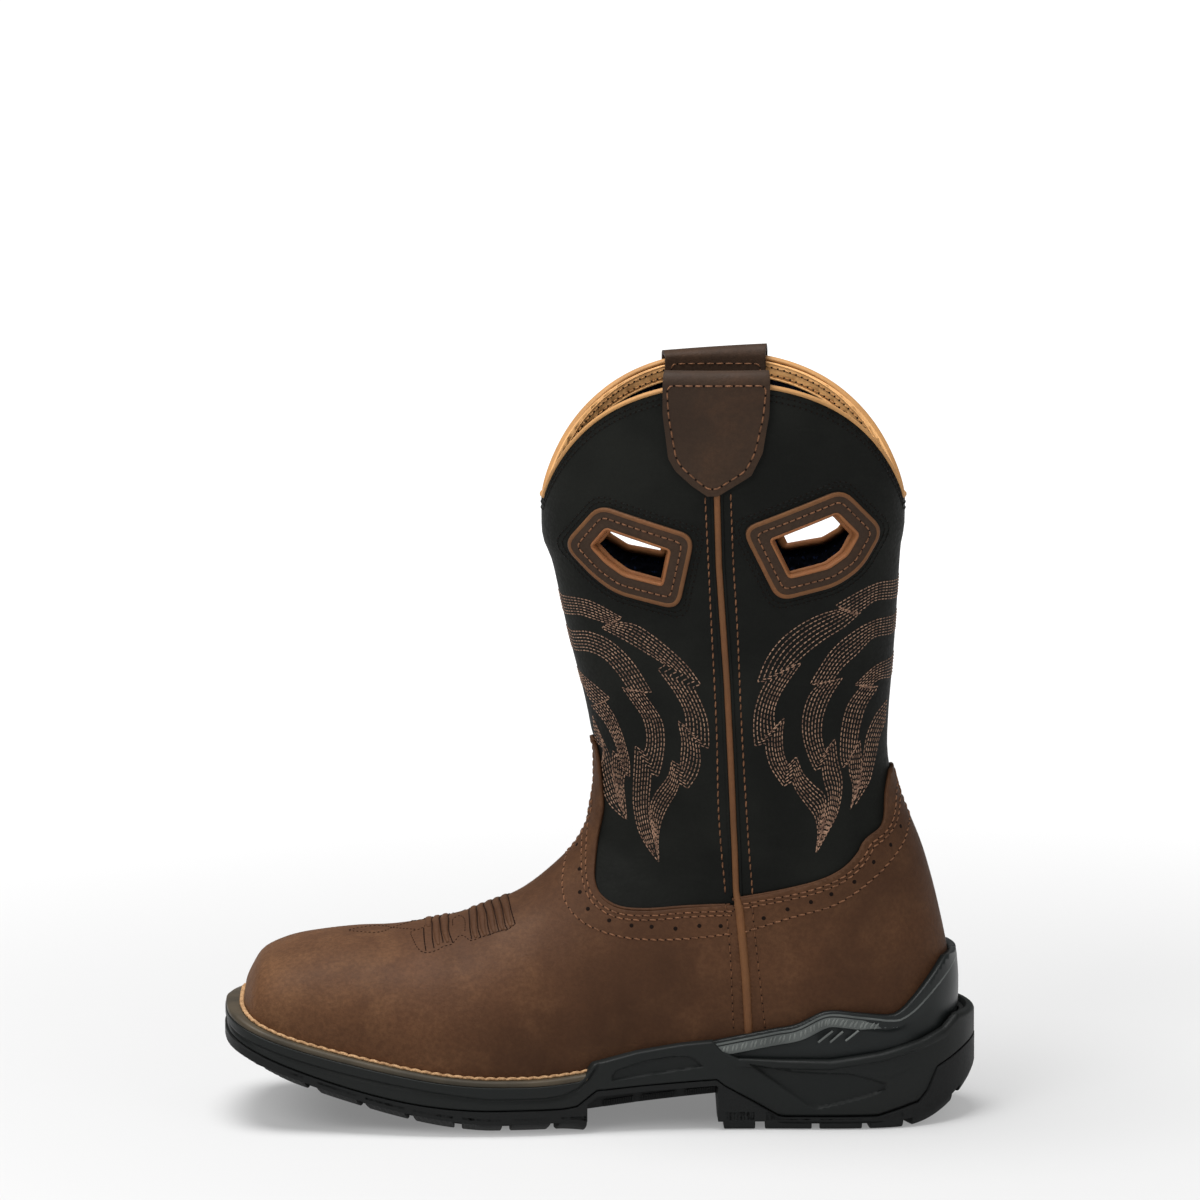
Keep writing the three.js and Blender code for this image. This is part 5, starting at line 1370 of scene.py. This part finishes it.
def side_relief(x, z):
    """How far the midsole's side is sunk: groove round the front, panels at the waist and heel."""
    spots = np.stack([x, z], axis=1)
    fade = 1 - soft_step(-3, 3, x)
    heel_part = soft_step(50, 66, x)
    below_top = midsole_top_z(x) - z
    groove = 1.25 * fade * np.exp(-((z - groove_z(x)) / 0.85) ** 2)
    lip = 0.6 * fade * soft_step(0, 1.4, groove_z(x) - z)
    ledge = heel_part * (1 - soft_step(128, 146, x)) * (1.2 * soft_step(3.4, 4.1, below_top)
                                                           + 0.35 * np.minimum(1, ((below_top - 1.7) / 1.7) ** 2))
    waist = 1.3 * soft_step(-0.1, 0.7, within(spots, np.array(WAIST_PANEL)))
    heel = 1.6 * soft_step(-0.1, 0.7, within(spots, np.array(HEEL_PANEL)))
    crease = 0.35 * np.exp(-(line_distance(spots, np.array(HEEL_CREASE)) / 0.6) ** 2)
    return groove + lip + waist + heel + crease + ledge


class BOOT_OT_midsole(bpy.types.Operator):
    """Mould the midsole with its groove, waist and heel panels"""
    bl_idname = "boot.midsole"
    bl_label = "Midsole"

    def execute(self, context):
        steps = 40

        def wall(share):
            def level(x):
                low, high = parting_z(x) + FIT, midsole_top_z(x)
                z = low + (high - low) * share
                round_in = 0
                top_rim = 0.5 + 0.4 * soft_step(-12, 0, x) + 1.3 * soft_step(60, 105, x)
                for rim, edge in ((0.7, z - low), (top_rim, high - z)):
                    round_in += rim - np.sqrt(np.maximum(0, rim**2 - np.maximum(0, rim - edge) ** 2))
                return 0.2 + side_relief(x, z) + round_in, z
            return level

        levels = [lambda x: (None, np.maximum(parting_z(x), 12.0)), lambda x: (9.0, np.maximum(parting_z(x), 10.0)),
                  lambda x: (4.0, parting_z(x) + FIT)]
        levels += [wall(share) for share in np.linspace(0, 1, steps) ** 1.0]
        gutter = lambda x: midsole_top_z(x) - 1.8 * soft_step(50, 66, x)
        levels += [lambda x: (3.4, midsole_top_z(x)), lambda x: (4.6, gutter(x)), lambda x: (6.5, gutter(x)),
                   lambda x: (9.0, np.minimum(gutter(x), feather_z(x) - 2)),
                   lambda x: (None, np.minimum(gutter(x), feather_z(x) - 2))]
        piece = build(band(960, levels), "midsole_body", "rubber", "midsole_rubber", "midsole")
        piece.data.set_sharp_from_angle(angle=math.radians(50))
        return {"FINISHED"}


class BOOT_OT_welt(bpy.types.Operator):
    """Lay the welt strip and its thread"""
    bl_idname = "boot.welt"
    bl_label = "Welt"

    def execute(self, context):
        sizes = context.scene.boot_sizes
        low = -WELT_THICKNESS
        profile = [(14.0, low), (1.0, low), (0.55, low + 0.3), (0.5, low + 1.0), (0.6, -0.9), (0.9, -0.4), (1.5, -0.1),
                   (2.6, 0.0), (14.0, 0.0), (14.0, low)]
        levels = [lambda x, i=i, h=h: (i + 0 * x, welt_z(x) + h) for i, h in profile]
        bm = band(900, levels)
        trim(bm, lambda p: -5.0 - p[:, 0])
        bmesh.ops.holes_fill(bm, edges=[e for e in bm.edges if e.is_boundary], sides=30)
        build(bm, "welt_strip", "welt_rubber", "welt_rubber", "welt")
        depth = []
        for spot, inward in zip(LOOP, INWARD):
            start = Vector((*spot, float(welt_z(spot[0])) + 0.2))
            hit = FORM.tree.ray_cast(start, Vector((*inward, 0)))[0]
            depth.append((hit - start).length if hit is not None else 6.0)
        depth = np.array(depth)
        depth = np.mean([np.roll(depth, k) for k in range(-7, 8)], axis=0)
        path = np.column_stack([LOOP + INWARD * (depth - OVERLAY_OUT - 1.0)[:, None], welt_z(LOOP[:, 0]) + 0.35])
        path = path[path[:, 0] < -1.5]
        start = int(np.argmax(np.linalg.norm(np.diff(path, axis=0), axis=1)))
        path = np.vstack([path[start + 1:], path[:start + 1]])
        path = even_line(path, 0.55)
        run = np.arange(len(path)) * 0.55
        phase = (run / (1000 * sizes.welt_stitch)) % 1
        up = np.tile([0.0, 0.0, 1.0], (len(path), 1))
        out = np.cross(headings(path), up)
        strands = []
        for sign in (-1, 1):
            swing = 0.5 * sign * np.cos(np.pi * phase)
            strands.append(cord(path + out * swing[:, None] + up * (0.3 * np.sin(np.pi * phase))[:, None], up, 0.68, 7,
                                0.95, swell=0.7 + 0.4 * np.sin(np.pi * phase)))
        build(join(strands), "welt_stitching", "welt_thread", "tan_leather")
        return {"FINISHED"}


def shank(x):
    """1 under the waist, where the tread stands in from the side, and 0 elsewhere."""
    return ((x > -4.5) & (x < 48.5)).astype(float)


def floor_z(x):
    """The bottom of the tread's base between its lugs."""
    x = np.asarray(x, float)
    deep = 5 - 1.6 * soft_step(0.05, 0.15, x / SOLE_LENGTH)
    rise = 9 + 5.5 * np.clip((x + 3.7) / 55, 0, 1)
    return np.where(shank(x) > 0, rise, tread_z(x) + deep)


def lug_profile(x):
    """A lug's section at a place along X: inset and height over the tread."""
    curl = float(1 - soft_step(-0.05, 0.02, x / SOLE_LENGTH))
    front = np.array([(0.05, 7.4), (0.05, 6.4), (0.2, 5.2), (0.8, 4.4), (3.4, 2.9), (7.0, 1.3), (10.4, 0.2), (11.4, 0.0),
                      (14.2, 0.0), (14.8, 0.5), (15.0, 1.4), (15.0, 7.4)])
    back = np.array([(0.05, 7.4), (0.05, 4.0), (0.1, 3.2), (0.3, 2.2), (0.7, 1.1), (1.1, 0.4), (1.5, 0.1), (2.0, 0.0),
                     (14.2, 0.0), (14.8, 0.5), (15.0, 1.4), (15.0, 7.4)])
    return front * curl + back * (1 - curl)


def lug(start, stop):
    """One lug along the sole's edge between two shares of its outline."""
    run = (stop - start) * run_of(LOOP)
    count = max(6, int(run / 1.2))
    runs = np.concatenate([[0, 0.4 / run], np.linspace(0, 1, count)[1:-1], [1 - 0.4 / run, 1]])

    def place(across, along):
        row = np.rint(along * (len(runs) - 1)).astype(int)
        share = start + (stop - start) * runs[row]
        edge = edge_places(share, np.zeros(len(share)))
        made = np.zeros((len(across), 3))
        for k in range(len(across)):
            table = lug_profile(edge[k, 0])
            spot = table[int(round(across[k] * len(table))) % len(table)].copy()
            if row[k] in (0, len(runs) - 1):
                spot += (np.array([7.5, 4.0]) - spot) / np.linalg.norm(np.array([7.5, 4.0]) - spot) * 0.45
            if edge[k, 0] < -50 and 0.5 < spot[0] < 9:
                spot[1] += 0.8 * (row[k] % 2)
            made[k, :2] = edge_places(share[k:k + 1], [spot[0]])[0]
            made[k, 2] = min(max(0.0, float(tread_z(edge[k, 0])) + spot[1]), float(parting_z(edge[k, 0])) - 0.15)
        return made

    bm = net(12, len(runs) - 1, place)
    bmesh.ops.remove_doubles(bm, verts=bm.verts, dist=0.001)
    bmesh.ops.holes_fill(bm, edges=[e for e in bm.edges if e.is_boundary], sides=20)
    return bm


def bar(start, stop, inset=18.6):
    """One bar across the middle of the tread."""
    bm = bmesh.new()
    bmesh.ops.create_cube(bm, size=1.0)
    bmesh.ops.subdivide_edges(bm, edges=bm.edges, cuts=5, use_grid_fill=True)
    bmesh.ops.scale(bm, vec=(stop - start, 60, 5.4), verts=bm.verts)
    sharp = [e for e in bm.edges if len(e.link_faces) == 2 and e.calc_face_angle() > 1]
    bmesh.ops.bevel(bm, geom=sharp, offset=0.5, segments=2, profile=0.5, affect="EDGES", material=-1)
    table = np.array(OUTLINE_ROWS)
    for vert in bm.verts:
        x = (start + stop) / 2 + vert.co.x
        low = -BALL_WIDTH * np.interp(x / SOLE_LENGTH, table[:, 0], table[:, 1]) + inset
        high = BALL_WIDTH * np.interp(x / SOLE_LENGTH, table[:, 2], table[:, 3]) - inset
        vert.co = (x, low + (high - low) * (vert.co.y / 60 + 0.5), float(tread_z(x)) + vert.co.z + 2.7)
    return bm


class BOOT_OT_tread(bpy.types.Operator):
    """Mould the lugged tread"""
    bl_idname = "boot.tread"
    bl_label = "Tread"

    def execute(self, context):
        def wall(share, step):
            def level(x):
                low, high = floor_z(x), parting_z(x)
                turn = high - 2.2
                z = np.where(share <= 0.5, low + (turn - low) * share * 2, turn + (high - turn) * (share * 2 - 1))
                inside = 6.5 * shank(x) * (share <= 0.5) * (1 - step)
                return inside + 0.05, z
            return level

        levels = [lambda x: (None, floor_z(x)), lambda x: (14.0, floor_z(x)), lambda x: (7.0, floor_z(x))]
        levels += [wall(share, 0) for share in (0.0, 0.15, 0.3, 0.45, 0.5)]
        levels += [wall(share, 1) for share in (0.5, 0.6, 0.8, 0.95)]
        levels += [lambda x: (0.5, parting_z(x)), lambda x: (8.0, parting_z(x)), lambda x: (None, parting_z(x))]
        base = band(960, levels)
        parts = [base]
        half = NOTCH / 2
        x_loop = LOOP[:, 0]
        outer = np.argmax(x_loop)

        def share_at(x, inner):
            """The share of the outline where it passes a place along X on one side."""
            if inner:
                return (LOOP_COUNT - np.argmax(x_loop[::-1][:LOOP_COUNT - outer] > x)) / LOOP_COUNT
            return np.argmax(x_loop[:outer + 1] > x) / LOOP_COUNT

        for inner in (False, True):
            for places in (TOE_NOTCHES + [FOREFOOT_BACK], [HEEL_BREAST] + HEEL_NOTCHES):
                for a, b in zip(places[:-1], places[1:]):
                    ends = sorted((share_at(a + (half if a != HEEL_BREAST else 0.3), inner),
                                   share_at(b - (half if b != FOREFOOT_BACK else 0.0), inner)))
                    parts.append(lug(*ends))
        last = share_at(HEEL_NOTCHES[-1] + half, False), share_at(HEEL_NOTCHES[-1] + half, True)
        middle = (last[0] + last[1]) / 2
        gap = 1.6 / (LOOP_COUNT * 0.8)
        parts += [lug(last[0], middle - gap), lug(middle + gap, last[1])]
        front = share_at(TOE_NOTCHES[0] - half, False)
        cuts = [0.004, front * 0.36, front * 0.7, front]
        for a, b in zip(cuts[:-1], cuts[1:]):
            parts += [lug(a + gap * 0.7, b - gap * 0.7), lug(1 - b + gap * 0.7, 1 - a - gap * 0.7)]
        for places in ([TREAD_FRONT] + TOE_NOTCHES, HEEL_NOTCHES[:4]):
            middles = [(a + b) / 2 for a, b in zip(places[:-1], places[1:])]
            for a, b in zip([places[0] + 2] + middles, middles + [places[-1] - 2]):
                parts.append(bar(a + half, b - half))
        parts += [bar(-117.0, -68.0, 40.0), bar(-70.0, -20.0, 44.0), bar(67.0, 146.0, 33.0)]
        ribs = bmesh.new()
        for inner in (False, True):
            for first, count in ((2.0, 13), (17.5, 15), (35.5, 13)):
                for k in range(count):
                    x = first + 0.95 * k
                    spot = edge_places(np.array([share_at(x, inner)]), [6.3])[0]
                    made = bmesh.ops.create_cube(ribs, size=1.0)["verts"]
                    bmesh.ops.scale(ribs, vec=(0.5, 1.6, 2.6), verts=made)
                    bmesh.ops.translate(ribs, vec=(x, spot[1], float(floor_z(x)) + 1.6), verts=made)
        parts.append(ribs)
        piece = build(join(parts), "tread", "tread_rubber", "tread_rubber", "outsole")
        piece.data.set_sharp_from_angle(angle=math.radians(40))
        return {"FINISHED"}


class BOOT_OT_clip(bpy.types.Operator):
    """Mould the stabilizer round the heel"""
    bl_idname = "boot.clip"
    bl_label = "Heel Stabilizer"

    def execute(self, context):
        line = smooth_line(outline_of_edge(CLIP_ROWS[:-1], SEAT_HEIGHT, 0), 0.8)
        region = np.vstack([line, [(200, line[-1, 1]), (200, -20), (line[0, 0], -20)]])
        bm = leather(CLIP_OUT)
        trim(bm, lambda p: p[:, 2] - midsole_top_z(p[:, 0]) + 2.5)
        trim(bm, lambda p: within(p[:, [0, 2]], region))
        spots = np.array([v.co for v in bm.verts])
        sunk = 2.0 * soft_step(5.0, 7.5, within(spots[:, [0, 2]], region)) * (1 - soft_step(118, 140, spots[:, 0]))
        _, normals = FORM.snap(spots, 0)
        for vert, spot in zip(bm.verts, spots - normals * sunk[:, None]):
            vert.co = spot
        clip = build(bm, "stabilizer_clip", "clip_plastic", "stabilizer_plastic", "heel_stabilizer", turned=True)
        thicken(clip, 0.0033)
        edge = beside(line, 1.3)
        edge = edge[edge[:, 1] < line[-1, 1] - 1.3]
        near, far = (FORM.from_side(edge, side) for side in (-1, 1))
        around = np.vstack([near, [(170.0, 0.0, line[-1, 1] - 1.3)], far[::-1]])
        path, normals = FORM.snap(even_line(around, 0.8), CLIP_OUT - 1.4)
        rims, marks, bands = [cord(path, normals, 1.3, 10, 1.15)], [], []
        for side in (-1, 1):
            strip = beside(line, 4.2)
            path, normals = FORM.snap(FORM.from_side(strip[strip[:, 0] < 121], side), CLIP_OUT - 0.1)
            bands.append(cord(path, normals, 2.2, 12, 0.1, swell=np.clip(np.arange(len(path))[::-1] / 16, 0.1, 1)))
            run = np.linalg.norm(np.diff(line, axis=0), axis=1).cumsum()
            for k in range(34):
                at = int(np.argmax(run > 4 + 2.0 * k))
                top, low = beside(line, 2.8)[at], beside(line, 5.6)[at]
                path, normals = FORM.snap(FORM.from_side(even_line([top, low - (1.4, 0)], 0.6), side), CLIP_OUT + 0.12)
                marks.append(cord(path, normals, 0.5, 8, 0.4, swell=np.sin(np.linspace(0.3, 2.9, len(path)))))
            for ends in CLIP_CUTS:
                path, normals = FORM.snap(FORM.from_side(even_line(ends, 0.7), side), CLIP_OUT)
                marks.append(cord(path, normals, 0.45, 8, 0.7))
        # Rim, band and marks take the lighter clip finishes: painted highlight on the parts that face up.
        build(join(rims), "stabilizer_rim", "clip_band_painted_highlight", "stabilizer_plastic")
        build(join(bands), "stabilizer_band", "clip_band_painted_highlight", "stabilizer_plastic")
        build(join(marks), "stabilizer_marks", "clip_edge_painted_highlight", "stabilizer_plastic")
        return {"FINISHED"}


class BOOT_OT_needle_holes(bpy.types.Operator):
    """Lay dark discs of painted shade for the needle holes between the stitches"""
    bl_idname = "boot.needle_holes"
    bl_label = "Needle Holes"

    def execute(self, context):
        build(NEEDLE_HOLES, "needle_holes", "hole_painted_shade", "dark_brown_leather", turned=True)
        return {"FINISHED"}


class BOOT_OT_footbed(bpy.types.Operator):
    """Lay the footbed"""
    bl_idname = "boot.footbed"
    bl_label = "Footbed"

    def execute(self, context):
        lengths = np.linspace(-141, 139, 90)
        sides = {}
        for x in lengths:
            z = float(feather_z(x)) + 4.5
            reach = []
            for sign in (-1, 1):
                spot = FORM.tree.ray_cast(Vector((x, sign * 200, z)), Vector((0, -sign, 0)))[0]
                reach.append(sign * max(0.5, abs(spot.y) - 3.0) if spot is not None else 0.0)
            sides[x] = reach

        def place(across, along):
            x = lengths[np.rint(along * (len(lengths) - 1)).astype(int)]
            reach = np.array([sides[v] for v in x])
            y = reach[:, 0] + (reach[:, 1] - reach[:, 0]) * across
            cup = 2.0 * (2 * across - 1) ** 4 * soft_step(-60, 60, x)
            return np.stack([x, y, feather_z(x) + 4.2 + cup], axis=1)

        piece = build(net(30, len(lengths) - 1, place), "footbed", "lining", "footbed_fabric", "insole")
        thicken(piece, 0.004, 0.0)
        return {"FINISHED"}


class BOOT_OT_stage(bpy.types.Operator):
    """Set the floor, the light and the camera"""
    bl_idname = "boot.stage"
    bl_label = "Stage"

    def execute(self, context):
        scene = context.scene
        bm = bmesh.new()
        bmesh.ops.create_grid(bm, x_segments=1, y_segments=1, size=6.0)
        mesh = bpy.data.meshes.new("floor")
        bm.to_mesh(mesh)
        bm.free()
        floor = bpy.data.objects.new("floor", mesh)
        floor.location.z = -0.0002
        scene.collection.objects.link(floor)
        r = Recipe("pale_floor", 0.9, 0.1)
        r.shader.inputs["Emission Strength"].default_value = 0.96
        away = r.add("ShaderNodeVectorMath", {"operation": "LENGTH"}, {0: r.place}, "Value").between(0.15, 1.3)
        reach = [r.add("ShaderNodeSeparateXYZ", None, {0: r.place}, axis).math("ABSOLUTE") for axis in "XY"]
        # Painted shadow: the floor glows less under the boot's sole, so the floor seen between the lugs stays dark.
        under = (1 - reach[0].between(0.1, 0.16)) * (1 - reach[1].between(0.03, 0.056))
        glow = r.mix(under, r.mix(away, (0.38, 0.38, 0.38), (1, 1, 1)), (0.22, 0.22, 0.22))
        mesh.materials.append(r.finish(Base_Color=(0.36, 0.36, 0.36), Emission_Color=glow))

        world = bpy.data.worlds.new("studio")
        scene.world = world
        world.use_nodes = True
        backdrop = world.node_tree.nodes["Background"]
        backdrop.inputs["Color"].default_value = (1, 1, 1, 1)
        seen = world.node_tree.nodes.new("ShaderNodeLightPath")
        level = world.node_tree.nodes.new("ShaderNodeMapRange")
        level.inputs["To Min"].default_value = 0.25
        world.node_tree.links.new(seen.outputs["Is Camera Ray"], level.inputs["Value"])
        world.node_tree.links.new(level.outputs[0], backdrop.inputs["Strength"])

        def lamp(name, place, aim, size, power):
            data = bpy.data.lights.new(name, "AREA")
            data.shape = "DISK"
            data.size = size
            data.energy = power
            light = bpy.data.objects.new(name, data)
            light.location = place
            light.rotation_euler = (Vector(aim) - Vector(place)).to_track_quat("-Z", "Y").to_euler()
            scene.collection.objects.link(light)

        lamp("key", (-1.0, -1.5, 1.5), (0, 0, 0.15), 1.1, 16)
        lamp("fill", (1.5, -1.5, 0.9), (0, 0, 0.12), 1.4, 5)
        lamp("top", (-0.3, -0.1, 1.9), (0, 0, 0.2), 1.2, 44)

        data = bpy.data.cameras.new("camera")
        data.sensor_width = 36.0
        data.lens = data.sensor_width * VIEW_DISTANCE * VIEW_SCALE * 1000 / VIEW_WIDTH
        camera = bpy.data.objects.new("camera", data)
        tilt = math.radians(VIEW_TILT)
        camera.location = (0, -VIEW_DISTANCE * math.cos(tilt), VIEW_AIM + VIEW_DISTANCE * math.sin(tilt))
        camera.rotation_euler = (math.pi / 2 - tilt, 0, 0)
        data.clip_end = 100
        scene.collection.objects.link(camera)
        scene.camera = camera
        scene.view_settings.view_transform = "Standard"
        return {"FINISHED"}


class BOOT_PT_panel(bpy.types.Panel):
    """Sizes, colours and pieces of the boot"""
    bl_label = "Boot"
    bl_idname = "BOOT_PT_panel"
    bl_space_type = "VIEW_3D"
    bl_region_type = "UI"
    bl_category = "Boot"

    def draw(self, context):
        for group in (context.scene.boot_sizes, context.scene.boot_colours):
            for name in group.__annotations__:
                self.layout.prop(group, name)
        for step in STEPS:
            self.layout.operator(step.bl_idname)


STEPS = (BOOT_OT_stage, BOOT_OT_shaft, BOOT_OT_foot, BOOT_OT_collar, BOOT_OT_piping, BOOT_OT_straps, BOOT_OT_frames,
         BOOT_OT_seams, BOOT_OT_flames, BOOT_OT_toe, BOOT_OT_welt, BOOT_OT_midsole, BOOT_OT_tread, BOOT_OT_clip,
         BOOT_OT_footbed, BOOT_OT_needle_holes)
CLASSES = (BootSizes, BootColours, *STEPS, BOOT_PT_panel)


def register():
    for cls in CLASSES:
        bpy.utils.register_class(cls)
    bpy.types.Scene.boot_sizes = PointerProperty(type=BootSizes)
    bpy.types.Scene.boot_colours = PointerProperty(type=BootColours)


def unregister():
    del bpy.types.Scene.boot_colours
    del bpy.types.Scene.boot_sizes
    for cls in reversed(CLASSES):
        bpy.utils.unregister_class(cls)


def main():
    register()
    for step in STEPS:
        group, name = step.bl_idname.split(".")
        getattr(getattr(bpy.ops, group), name)()


if __name__ == "__main__":
    main()
